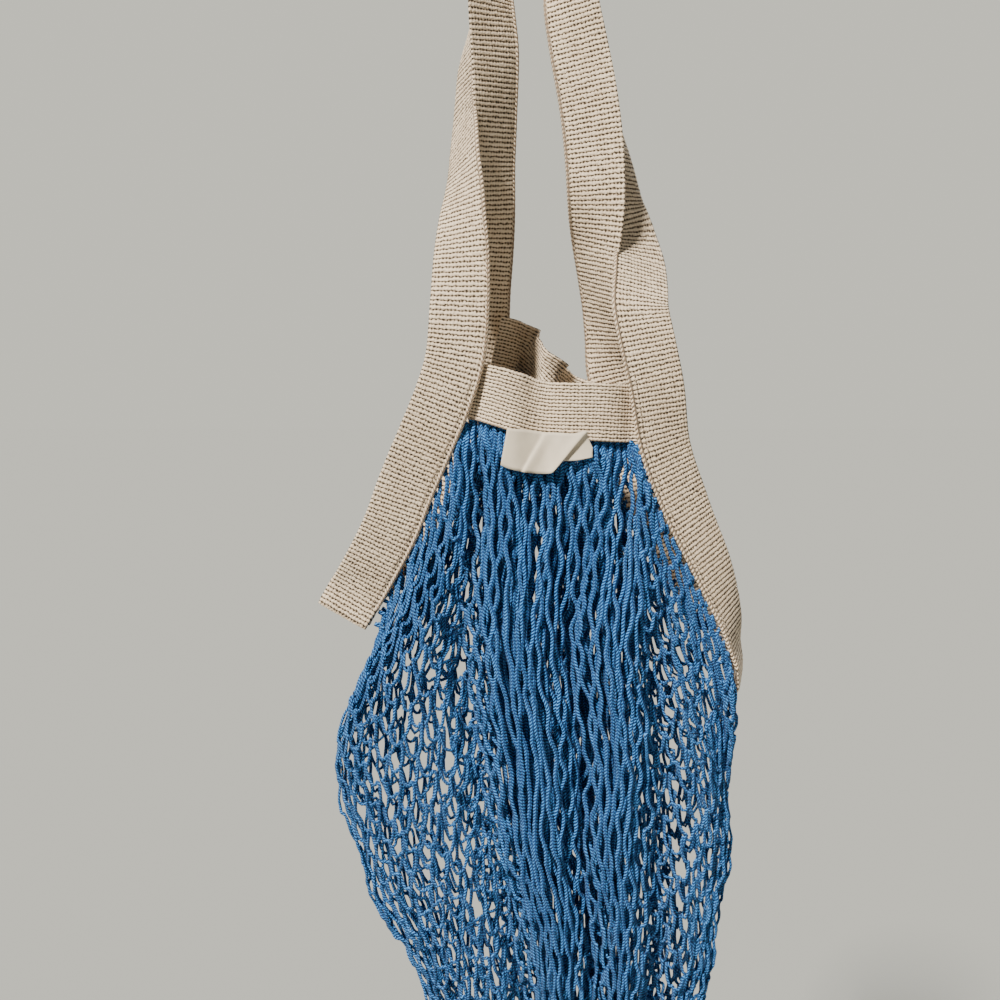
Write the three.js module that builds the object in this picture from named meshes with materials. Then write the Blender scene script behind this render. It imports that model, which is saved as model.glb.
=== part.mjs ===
import * as THREE from "three";

// Driving sizes, in millimetres. The hanging point is the origin, +Z is up and the front looks to -Y.
const webbingWidth = 35;
const webbingThickness = 2;
const handleDrop = 300; // hanging point down to the mouth
const backArchReach = 24; // back handle's legs out from the middle, below the hanging point
const frontArchReach = 38; // the same for the front handle, which lies over the back one
const frontFootLeft = 46; // handle legs out from the middle at the mouth
const frontFootRight = 75;
const backFootLeft = 30;
const backFootRight = 57;
const mouthDepth = 66; // front strap to back strap at the mouth
const leftReach = 119; // side points out from the middle
const rightReach = 132;
const leftFall = 150; // mouth down to the side points
const rightFall = 192;
const foldGap = 2.6; // between the two layers of webbing folded at a side point
const foldTail = 12; // how far the front strap is turned under
const frontBandRise = 10; // upper edge of a band above the mouth line, at its left end
const frontBandSag = 15; // how much lower the right end of a band is
const frontBandBulge = 8; // how far a band swells out of the line between its ends
const backBandRise = 42;
const backBandSag = 46;
const backBandBulge = 22;
const bandTuck = 7; // how far a band reaches under the straps
const netLeft = 126; // widest reach of the net from the middle
const netRight = 130;
const netDepth = 42; // reach of the net to the front and the back
const netFall = 485; // mouth down to the bottom of the net
const netThickness = 3;
const netHem = 6; // solid edge of the net under the webbing
const strandWidth = 9; // solid strip between two gaps
const gapsRound = 15;
const gapRows = 8;
const labelHeight = 25;
const labelThickness = 1;
const labelOverlap = 3; // how far the label lies over the band
const seamGap = 0.4; // clearance between sewn pieces
const foldClearance = 0.8; // clearance from the turned end to the back webbing
const rimGap = 0.7; // clearance from the webbing's edges to the net
const turnOffset = 5; // how far it stands off there
const turnReach = 45; // how far from a side point the net starts to turn round the webbing's edge

const webbing = new THREE.MeshStandardMaterial({ color: 0xd8c8ac, roughness: 0.95, metalness: 0 });
const labelCloth = new THREE.MeshStandardMaterial({ color: 0xe6dfd0, roughness: 0.9, metalness: 0 });
const blueCotton = new THREE.MeshStandardMaterial({ color: 0x5a93cf, roughness: 0.9, metalness: 0 });

// How each leg of a handle runs. Arch rows start at the hanging point: fall is a share of the handle
// drop and side a share of the arch reach. Handle rows go on down to the mouth: side is a share of the
// foot. Edge rows go on to the side point: fall and side are shares of the way there. Depth is a share
// of half the mouth depth, positive to the back, and turn is the angle of the strip's face in degrees.
const frontLeftLeg = {
  arch: [
    { fall: 0.0, side: 0.3, depth: 0, turn: 90 },
    { fall: 0.032, side: 0.57, depth: 0.05, turn: 90 },
    { fall: 0.085, side: 0.8, depth: 0.15, turn: 90 },
    { fall: 0.155, side: 0.93, depth: 0.28, turn: 90 },
    { fall: 0.24, side: 0.99, depth: 0.32, turn: 88 },
  ],
  handle: [
    { fall: 0.343, side: 0.9, depth: 0.12, turn: 78 },
    { fall: 0.453, side: 0.94, depth: -0.05, turn: 76 },
    { fall: 0.56, side: 0.9, depth: -0.4, turn: 61 },
    { fall: 0.62, side: 0.9, depth: -0.6, turn: 50 },
    { fall: 0.69, side: 0.92, depth: -0.8, turn: 35 },
    { fall: 0.76, side: 0.92, depth: -0.92, turn: 18 },
    { fall: 0.86, side: 0.94, depth: -1, turn: 4 },
    { fall: 0.96, side: 1, depth: -1, turn: 0 },
  ],
  edge: [
    { fall: 0.08, side: 0.1, depth: -0.95, turn: 0 },
    { fall: 0.24, side: 0.235, depth: -0.84, turn: 0 },
    { fall: 0.45, side: 0.425, depth: -0.64, turn: 0 },
    { fall: 0.63, side: 0.575, depth: -0.46, turn: 0 },
    { fall: 0.8, side: 0.76, depth: -0.26, turn: 0 },
  ],
};
const frontRightLeg = {
  arch: [
    { fall: 0.0, side: 0.3, depth: 0, turn: 90 },
    { fall: 0.032, side: 0.57, depth: 0.06, turn: 90 },
    { fall: 0.085, side: 0.78, depth: 0.18, turn: 90 },
    { fall: 0.155, side: 0.9, depth: 0.26, turn: 90 },
    { fall: 0.24, side: 0.96, depth: 0.3, turn: 88 },
  ],
  handle: [
    { fall: 0.343, side: 0.55, depth: 0.27, turn: 82 },
    { fall: 0.453, side: 0.65, depth: 0.24, turn: 64 },
    { fall: 0.543, side: 0.715, depth: 0.15, turn: 50 },
    { fall: 0.64, side: 0.78, depth: 0.04, turn: 38 },
    { fall: 0.7, side: 0.86, depth: 0.02, turn: 31 },
    { fall: 0.75, side: 0.905, depth: -0.18, turn: 28 },
    { fall: 0.8, side: 0.9, depth: -0.48, turn: 20 },
    { fall: 0.86, side: 0.885, depth: -0.78, turn: 12 },
    { fall: 0.945, side: 0.95, depth: -0.91, turn: 12 },
  ],
  edge: [
    { fall: 0.03, side: 0.02, depth: -0.9, turn: 15 },
    { fall: 0.21, side: 0.12, depth: -0.8, turn: 24 },
    { fall: 0.41, side: 0.37, depth: -0.66, turn: 30 },
    { fall: 0.6, side: 0.67, depth: -0.52, turn: 37 },
    { fall: 0.7, side: 0.81, depth: -0.45, turn: 46 },
    { fall: 0.8, side: 0.93, depth: -0.37, turn: 58 },
    { fall: 0.89, side: 0.99, depth: -0.29, turn: 70 },
  ],
};
const backLeftLeg = {
  arch: [
    { fall: 0.007, side: 0.38, depth: 0, turn: 90 },
    { fall: 0.037, side: 0.68, depth: -0.06, turn: 88 },
    { fall: 0.09, side: 0.86, depth: -0.15, turn: 80 },
    { fall: 0.16, side: 0.96, depth: -0.27, turn: 60 },
    { fall: 0.245, side: 1, depth: -0.36, turn: 40 },
  ],
  handle: [
    { fall: 0.343, side: 0.73, depth: -0.28, turn: 36 },
    { fall: 0.453, side: 0.72, depth: -0.13, turn: 44 },
    { fall: 0.56, side: 0.77, depth: 0.08, turn: 42 },
    { fall: 0.683, side: 0.8, depth: 0.36, turn: 38 },
    { fall: 0.81, side: 0.93, depth: 0.62, turn: 28 },
    { fall: 0.93, side: 1.08, depth: 0.82, turn: 12 },
  ],
  edge: [
    { fall: 0.17, side: 0.2, depth: 0.86, turn: 0 },
    { fall: 0.4, side: 0.38, depth: 0.73, turn: 0 },
    { fall: 0.63, side: 0.58, depth: 0.52, turn: 0 },
    { fall: 0.83, side: 0.79, depth: 0.3, turn: 0 },
  ],
};
const backRightLeg = {
  arch: [
    { fall: 0.007, side: 0.38, depth: 0, turn: 90 },
    { fall: 0.037, side: 0.68, depth: -0.06, turn: 88 },
    { fall: 0.09, side: 0.85, depth: -0.18, turn: 74 },
    { fall: 0.16, side: 0.95, depth: -0.3, turn: 48 },
    { fall: 0.245, side: 1, depth: -0.36, turn: 25 },
  ],
  handle: [
    { fall: 0.343, side: 0.51, depth: -0.38, turn: 12 },
    { fall: 0.45, side: 0.61, depth: -0.43, turn: 14 },
    { fall: 0.543, side: 0.67, depth: -0.44, turn: 12 },
    { fall: 0.64, side: 0.7, depth: -0.42, turn: 16 },
    { fall: 0.693, side: 0.69, depth: -0.27, turn: 32 },
    { fall: 0.743, side: 0.665, depth: -0.04, turn: 57 },
    { fall: 0.8, side: 0.7, depth: 0.18, turn: 60 },
    { fall: 0.86, side: 0.77, depth: 0.42, turn: 58 },
    { fall: 0.925, side: 0.87, depth: 0.64, turn: 40 },
    { fall: 0.99, side: 0.97, depth: 0.79, turn: 18 },
  ],
  edge: [
    { fall: 0.245, side: 0.18, depth: 0.85, turn: 0 },
    { fall: 0.48, side: 0.36, depth: 0.66, turn: -14 },
    { fall: 0.7, side: 0.64, depth: 0.24, turn: -44 },
    { fall: 0.82, side: 0.84, depth: -0.02, turn: -68 },
  ],
};
const leftEndTurn = 0;
const rightEndTurn = 74;
const rightEndDepth = -0.2; // share of half the mouth depth

// How each band runs between the straps: along is a share of its span, bulge and sag of the named sizes.
const frontBandRows = [
  { along: 0, bulge: 0, sag: 0 },
  { along: 0.08, bulge: 0, sag: 0.06 },
  { along: 0.17, bulge: 0.65, sag: 0.22 },
  { along: 0.29, bulge: 0.85, sag: 0.5 },
  { along: 0.39, bulge: 0.42, sag: 0.75 },
  { along: 0.45, bulge: 0.36, sag: 0.83 },
  { along: 0.56, bulge: 0.85, sag: 0.87 },
  { along: 0.74, bulge: 0.95, sag: 0.9 },
  { along: 0.85, bulge: 0.6, sag: 0.95 },
  { along: 0.93, bulge: 0, sag: 0.98 },
  { along: 1, bulge: 0, sag: 1 },
];
const backBandRows = [
  { along: 0, bulge: 0, sag: 0 },
  { along: 0.08, bulge: 0, sag: 0.01 },
  { along: 0.17, bulge: 0.14, sag: 0.03 },
  { along: 0.25, bulge: 0.34, sag: 0.1 },
  { along: 0.32, bulge: 0.1, sag: 0.24 },
  { along: 0.36, bulge: -0.36, sag: 0.36 },
  { along: 0.4, bulge: -0.75, sag: 0.5 },
  { along: 0.47, bulge: -0.82, sag: 0.64 },
  { along: 0.57, bulge: -0.5, sag: 0.76 },
  { along: 0.68, bulge: -0.05, sag: 0.88 },
  { along: 0.8, bulge: 0.06, sag: 0.94 },
  { along: 0.91, bulge: 0, sag: 0.98 },
  { along: 1, bulge: 0, sag: 1 },
];

// The net body from its upper edge to its bottom: fall is a share of the way down, left and right are
// shares of the reaches from the middle, depth is a share of the net depth.
const bodyRows = [
  { down: 0, fall: 0, left: 0.84, right: 0.99, depth: 0.3 },
  { down: 0.06, fall: 0.06, left: 0.93, right: 1, depth: 0.5 },
  { down: 0.15, fall: 0.15, left: 0.985, right: 1.01, depth: 0.8 },
  { down: 0.25, fall: 0.26, left: 1, right: 0.98, depth: 0.95 },
  { down: 0.35, fall: 0.37, left: 0.955, right: 1, depth: 1 },
  { down: 0.42, fall: 0.45, left: 0.87, right: 0.995, depth: 1 },
  { down: 0.52, fall: 0.56, left: 0.79, right: 0.94, depth: 0.98 },
  { down: 0.62, fall: 0.67, left: 0.62, right: 0.92, depth: 0.92 },
  { down: 0.72, fall: 0.78, left: 0.5, right: 0.86, depth: 0.82 },
  { down: 0.8, fall: 0.86, left: 0.37, right: 0.75, depth: 0.68 },
  { down: 0.87, fall: 0.925, left: 0.2, right: 0.56, depth: 0.5 },
  { down: 0.94, fall: 0.975, left: 0, right: 0.34, depth: 0.28 },
  { down: 1, fall: 1, left: -0.16, right: 0.17, depth: 0.03 },
];
// Where the columns of the net lie across each face: share of the columns, side from -1 to 1.
const frontSpread = [
  { share: 0, side: -1 },
  { share: 0.1, side: -0.9 },
  { share: 0.3, side: -0.36 },
  { share: 0.5, side: 0.1 },
  { share: 0.7, side: 0.54 },
  { share: 0.9, side: 0.93 },
  { share: 1, side: 1 },
];
const backSpread = [
  { share: 0, side: -1 },
  { share: 0.1, side: -0.91 },
  { share: 0.3, side: -0.42 },
  { share: 0.5, side: 0 },
  { share: 0.7, side: 0.42 },
  { share: 0.9, side: 0.92 },
  { share: 1, side: 1 },
];
// Folds that run down each face: side of the middle, width in the same measure, and depth as a share
// of the net depth, positive inwards.
const frontFolds = [
  { side: -0.7, width: 0.16, depth: -0.14 },
  { side: -0.36, width: 0.08, depth: 0.5 },
  { side: -0.08, width: 0.12, depth: -0.1 },
  { side: 0.17, width: 0.07, depth: 0.26 },
  { side: 0.4, width: 0.1, depth: -0.12 },
  { side: 0.63, width: 0.08, depth: 0.42 },
  { side: 0.84, width: 0.1, depth: -0.1 },
];
const backFolds = [
  { side: -0.45, width: 0.14, depth: 0.3 },
  { side: 0.05, width: 0.12, depth: 0.22 },
  { side: 0.5, width: 0.14, depth: 0.3 },
];
// Share of the columns on each face that hang from a side edge, the rest hang from the band.
const edgeShare = 0.3;
const sideRoundness = 2.2; // how round the net is from front to back, 2 is an ellipse
const foldFades = [0, 0.25, 0.75, 0.97]; // shares of the fall where the folds start, are full, fade and end
const rimBlend = 0.3; // share of the fall over which the net leaves the line of its upper edge
const solidEnd = 0.94; // share of the fall where the gaps end above the closed bottom
const hemBlend = 0.06; // share of the fall over which the wall turns from the webbing's face
const bandCovered = 0.1; // share of a band that each strap covers
const cornerDrop = 4; // where the net leaves the strap for the band
const endFrames = 2; // frames left out at a side point, where the net turns round the webbing
const gapSteps = 3; // straight stretches along a quarter of a gap's outline
const gapPointedness = 1.7; // 1 is an ellipse and 2 a diamond
const backEndRun = 1.7; // straight end of the back webbing, in turned ends
const bandClearReach = 0.6; // how far up and down a strap a band's end stays clear of, in webbing widths
const sampleStep = 0.002; // share of the net between two places that give its slope
const keyScale = 1e4; // steps in one gap when two corners are told apart
const tiny = 1e-9;
// How the label hangs: along is a share of the front band, out and drop are shares of its height.
const labelRows = [
  { along: 0.29, out: 0.07, drop: 0.54, lean: 0.1 },
  { along: 0.42, out: 0.06, drop: 0.56, lean: 0.05 },
  { along: 0.55, out: 0.11, drop: 0.54, lean: 0 },
  { along: 0.7, out: 0.05, drop: 0.42, lean: -0.06 },
];

const vector = (x, y, z) => new THREE.Vector3(x, y, z);
const mix = THREE.MathUtils.lerp;
const ease = (from, to, value) => THREE.MathUtils.smoothstep(value, from, to);
const halfMouth = mouthDepth / 2;
const foldOffset = (webbingThickness + foldGap) / 2;
const bottomHeight = -handleDrop - netFall;

// One column of a table at a place between its rows, on a smooth curve through them.
function readTable(rows, key, at, column) {
  const last = rows.length - 1;
  const found = rows.findIndex((row, n) => n < last && at <= rows[n + 1][key]);
  const i = found < 0 ? last - 1 : found;
  const span = rows[i + 1][key] - rows[i][key];
  const share = THREE.MathUtils.clamp((at - rows[i][key]) / span, 0, 1);
  const slope = (n) => {
    const low = rows[Math.max(n - 1, 0)];
    const high = rows[Math.min(n + 1, last)];
    return (high[column] - low[column]) / (high[key] - low[key]);
  };
  const square = share * share;
  const cube = square * share;
  return (2 * cube - 3 * square + 1) * rows[i][column]
    + (cube - 2 * square + share) * span * slope(i)
    + (3 * square - 2 * cube) * rows[i + 1][column]
    + (cube - square) * span * slope(i + 1);
}

// A closed mesh from its corners and its faces of three or four corners.
function meshFrom(name, corners, faces, material) {
  const places = corners.flatMap((corner) => corner.toArray());
  const triangles = faces.flatMap((f) => (f.length === 3 ? f : [f[0], f[1], f[2], f[0], f[2], f[3]]));
  const geometry = new THREE.BufferGeometry();
  geometry.setAttribute("position", new THREE.Float32BufferAttribute(places, 3));
  geometry.setIndex(triangles);
  geometry.computeVertexNormals();
  const mesh = new THREE.Mesh(geometry, material);
  mesh.name = name;
  return mesh;
}

// Frames along a strip: its centre, the way across its width and the way its outer face looks.
function stripFrames(stations, steps) {
  const centres = new THREE.CatmullRomCurve3(stations.map((s) => s.centre), false, "centripetal");
  const last = stations.length - 1;
  const count = last * steps;
  return Array.from({ length: count + 1 }, (_, n) => {
    const centre = centres.getPoint(n / count);
    const along = centres.getTangent(n / count).normalize();
    const i = Math.min(Math.floor(n / steps), last - 1);
    const across = stations[i].across.clone().lerp(stations[i + 1].across, n / steps - i);
    across.addScaledVector(along, -across.dot(along)).normalize();
    const face = vector(0, 0, 0).crossVectors(across, along);
    return { centre, along, across, face };
  });
}

function stripMesh(name, frames, width, thickness, material) {
  const section = [[-1, -1], [1, -1], [1, 1], [-1, 1]];
  const corners = frames.flatMap(({ centre, across, face }) => section.map(([side, out]) =>
    centre.clone().addScaledVector(across, (side * width) / 2).addScaledVector(face, (out * thickness) / 2)));
  const faces = [];
  for (let i = 0; i < frames.length - 1; i += 1) {
    for (let k = 0; k < 4; k += 1) {
      const next = (k + 1) % 4;
      faces.push([4 * i + k, 4 * i + 4 + k, 4 * i + 4 + next, 4 * i + next]);
    }
  }
  const end = 4 * (frames.length - 1);
  faces.push([0, 1, 2, 3], [end + 3, end + 2, end + 1, end]);
  return meshFrom(name, corners, faces, material);
}

// Stations of one leg from the hanging point down to its side point. Side is -1 for a left leg and 1
// for a right one, and spin says which way the strip turns to show its outer face.
function legStations(leg, { side, spin, arch, foot, reach, fall, end }) {
  const station = (x, depth, z, turn) => {
    const angle = THREE.MathUtils.degToRad(turn);
    return {
      centre: vector(side * x, depth * halfMouth, z),
      across: vector(spin * Math.cos(angle), -Math.sin(angle), 0),
    };
  };
  const atMouth = -handleDrop;
  return [
    ...leg.arch.map((r) => station(r.side * arch, r.depth, r.fall * atMouth, r.turn)),
    ...leg.handle.map((r) => station(r.side * foot, r.depth, r.fall * atMouth, r.turn)),
    ...leg.edge.map((r) => station(mix(foot, reach, r.side), r.depth, atMouth - r.fall * fall, r.turn)),
    station(reach, end.depth, atMouth - fall, end.turn),
  ];
}

// The fold at a side point: the way down, the way across the webbing and the way its front face looks.
function sideFold(stations, spin) {
  const [before, point] = stations.slice(-2);
  const across = point.across.clone();
  const face = vector(0, 0, 0).crossVectors(across, vector(0, 0, spin));
  const down = point.centre.clone().sub(before.centre);
  down.addScaledVector(face, -down.dot(face)).normalize();
  across.addScaledVector(down, -across.dot(down)).normalize();
  return { point: point.centre.clone(), down, across, face };
}

// Stations of the webbing turned under at a side point, from its front layer to its end.
function turnedUnder({ point, down, across, face }) {
  const turns = [0, 45, 90, 135, 180].map((degrees) => {
    const angle = THREE.MathUtils.degToRad(degrees);
    const centre = point.clone().addScaledVector(face, foldOffset * Math.cos(angle))
      .addScaledVector(down, foldOffset * Math.sin(angle));
    return { centre, across };
  });
  const [head, tail] = [1, -1].map((layer) =>
    point.clone().addScaledVector(face, layer * foldOffset).addScaledVector(down, -foldTail));
  return [{ centre: head, across }, ...turns, { centre: tail, across }];
}

const leftEnd = { depth: 0, turn: leftEndTurn };
const rightEnd = { depth: rightEndDepth, turn: rightEndTurn };
const leftSide = { side: -1, reach: leftReach, fall: leftFall, end: leftEnd };
const rightSide = { side: 1, reach: rightReach, fall: rightFall, end: rightEnd };
const frontLegs = {
  left: legStations(frontLeftLeg, { ...leftSide, spin: 1, arch: frontArchReach, foot: frontFootLeft }),
  right: legStations(frontRightLeg, { ...rightSide, spin: -1, arch: frontArchReach, foot: frontFootRight }),
};
const leftFold = sideFold(frontLegs.left, 1);
const rightFold = sideFold(frontLegs.right, -1);
const backLegs = {
  left: legStations(backLeftLeg, { ...leftSide, spin: -1, arch: backArchReach, foot: backFootLeft }),
  right: legStations(backRightLeg, { ...rightSide, spin: 1, arch: backArchReach, foot: backFootRight }),
};

// The back webbing ends against the turned end of the front webbing.
function seatBackEnd(stations, { point, down, across, face }) {
  const behind = foldOffset + webbingThickness + foldClearance;
  const end = point.clone().addScaledVector(face, -behind);
  const start = end.clone().addScaledVector(down, -backEndRun * foldTail);
  const turned = across.clone().negate();
  stations.pop();
  stations.push({ centre: start, across: turned }, { centre: end, across: turned });
}
seatBackEnd(backLegs.left, leftFold);
seatBackEnd(backLegs.right, rightFold);

const legSteps = 4; // frames from one station to the next
const crest = (height) => ({ centre: vector(0, 0, height), across: vector(0, -1, 0) });
const backCrest = crest(webbingThickness / 2);
const frontCrest = crest(webbingThickness * 1.5 + seamGap);
const frontStations = [
  ...turnedUnder(leftFold).reverse(),
  ...frontLegs.left.slice(0, -1).reverse(),
  frontCrest,
  ...frontLegs.right.slice(0, -1),
  ...turnedUnder(rightFold),
];
const backStations = [...backLegs.left].reverse().concat(backCrest, backLegs.right);
const frontStrap = stripFrames(frontStations, legSteps);
const backStrap = stripFrames(backStations, legSteps);

// The frames of one leg from the crest down to its side point, without the turned end.
function legFrames(frames, side, turned) {
  const middle = frames.findIndex((f) => f.centre.x >= 0);
  const leg = side < 0 ? frames.slice(0, middle + 1).reverse() : frames.slice(middle);
  return leg.slice(0, leg.length - turned * legSteps);
}
const turnedStations = turnedUnder(leftFold).length - 1;
const bothLegs = (frames, turned) => ({
  left: legFrames(frames, -1, turned),
  right: legFrames(frames, 1, turned),
});
const legs = { front: bothLegs(frontStrap, turnedStations), back: bothLegs(backStrap, 0) };

// The inner edge of a strap is the one towards the middle of the bag. It lies along across in front
// and against it at the back.
const inner = { front: 1, back: -1 };
const bands = {
  front: { rows: frontBandRows, rise: frontBandRise, sag: frontBandSag, bulge: frontBandBulge },
  back: { rows: backBandRows, rise: backBandRise, sag: backBandSag, bulge: backBandBulge },
};

// Where a band's end lies under a leg, at a given height.
function bandEnd(leg, layer, height) {
  const gapTo = (frame) => Math.abs(frame.centre.z - height);
  const frame = leg.reduce((a, b) => (gapTo(b) < gapTo(a) ? b : a));
  const reach = inner[layer] * (webbingWidth / 2 - bandTuck);
  const end = frame.centre.clone().addScaledVector(frame.across, reach);
  const near = leg.filter((f) => gapTo(f) < webbingWidth * bandClearReach);
  const deepest = Math.max(...near.map((f) => f.centre.y * inner[layer]));
  return vector(end.x, inner[layer] * (deepest + webbingThickness + seamGap), height);
}

function bandFrames(layer) {
  const { rows, rise, sag, bulge } = bands[layer];
  const top = -handleDrop + rise - webbingWidth / 2;
  const left = bandEnd(legs[layer].left, layer, top);
  const right = bandEnd(legs[layer].right, layer, top - sag);
  const stations = rows.map((row) => ({
    centre: vector(
      mix(left.x, right.x, row.along),
      mix(left.y, right.y, row.along) - inner[layer] * row.bulge * bulge,
      top - row.sag * sag,
    ),
    across: vector(0, 0, -inner[layer]),
  }));
  return stripFrames(stations, legSteps);
}
const bandStrips = { front: bandFrames("front"), back: bandFrames("back") };

// The line that the net hangs from on one face: along the inner edge of the left leg, the lower edge of
// the band and the inner edge of the right leg, each as a row of places with the way they face.
function rimParts(layer) {
  // Towards a side point the net stands off the webbing, because it turns round its edge there.
  const standOff = (place, { point }) => turnOffset * (1 - ease(0, turnReach, place.distanceTo(point)));
  const edge = ({ centre, across, face }) => {
    const extra = Math.max(standOff(centre, leftFold), standOff(centre, rightFold));
    const reach = inner[layer] * (webbingWidth / 2 + rimGap + extra);
    return { place: centre.clone().addScaledVector(across, reach), face };
  };
  const band = bandStrips[layer];
  const covered = Math.round(band.length * bandCovered);
  const hem = band.slice(covered, band.length - covered).map(edge);
  const below = (leg, corner) => leg.map(edge).filter((p) => p.place.z < corner.place.z - cornerDrop);
  const left = below(legs[layer].left, hem[0]).reverse();
  const right = below(legs[layer].right, hem[hem.length - 1]);
  const sideEnd = ({ point, across }) => ({
    place: point.clone().addScaledVector(across, webbingWidth / 2 + rimGap + turnOffset),
    face: across.clone().negate(),
  });
  return [
    [sideEnd(leftFold), ...left.slice(endFrames)],
    hem,
    [...right.slice(0, -endFrames), sideEnd(rightFold)],
  ];
}

// One place on the rim, by its share of the columns from the left side point to the right one.
function rimAt(parts, share) {
  const bounds = [0, edgeShare, 1 - edgeShare, 1];
  const part = share < bounds[1] ? 0 : share < bounds[2] ? 1 : 2;
  const places = part === 1 ? [parts[0].at(-1), ...parts[1], parts[2][0]] : parts[part];
  const lengths = [0];
  places.slice(1).forEach((p, n) => lengths.push(lengths[n] + p.place.distanceTo(places[n].place)));
  const way = lengths.at(-1) * (share - bounds[part]) / (bounds[part + 1] - bounds[part]);
  const i = Math.max(1, lengths.findIndex((length, n) => n > 0 && length >= way - tiny));
  const between = (way - lengths[i - 1]) / (lengths[i] - lengths[i - 1]);
  return {
    place: places[i - 1].place.clone().lerp(places[i].place, between),
    face: places[i - 1].face.clone().lerp(places[i].face, between).normalize(),
  };
}

const layers = {
  front: { rim: rimParts("front"), spread: frontSpread, folds: frontFolds, way: -1 },
  back: { rim: rimParts("back"), spread: backSpread, folds: backFolds, way: 1 },
};

// A place on the middle of the net's wall. Round runs once about the bag from the left side point
// along the front, and down runs from the rim to the middle of the bottom.
function netPlace(round, down) {
  const turn = ((round % 1) + 1) % 1;
  const layer = turn < 0.5 ? layers.front : layers.back;
  const share = turn < 0.5 ? 2 * turn : 2 - 2 * turn;
  const rim = rimAt(layer.rim, share);
  const level = (column) => readTable(bodyRows, "down", down, column);
  const side = readTable(layer.spread, "share", share, "side");
  const near = (f) => Math.exp(-(((side - f.side) / f.width) ** 2));
  const [start, full, fade, end] = foldFades;
  const shown = ease(start, full, down) * (1 - ease(fade, end, down));
  const fold = shown * layer.folds.reduce((sum, f) => sum + f.depth * near(f), 0);
  const swell = Math.sqrt(Math.max(0, 1 - Math.abs(side) ** sideRoundness));
  const body = vector(
    mix(-netLeft * level("left"), netRight * level("right"), (side + 1) / 2),
    layer.way * netDepth * (level("depth") - fold) * swell,
    0,
  );
  const place = rim.place.clone().lerp(body, ease(0, rimBlend, down));
  place.z = mix(rim.place.z, bottomHeight, level("fall"));
  return { place, face: rim.face };
}

// Outer and inner corner of the net's wall at one place.
function netCorners(round, down) {
  const step = sampleStep;
  const low = Math.min(down, 1 - step);
  const { place, face } = netPlace(round, down);
  const about = netPlace(round + step, low).place.sub(netPlace(round - step, low).place);
  const high = Math.max(0, low - step);
  const fall = netPlace(round, low + step).place.sub(netPlace(round, high).place);
  const out = vector(0, 0, 0).crossVectors(fall, about).normalize();
  const normal = face.clone().lerp(out, ease(0, hemBlend, down)).normalize();
  return [1, -1].map((way) => place.clone().addScaledVector(normal, (way * netThickness) / 2));
}

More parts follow.
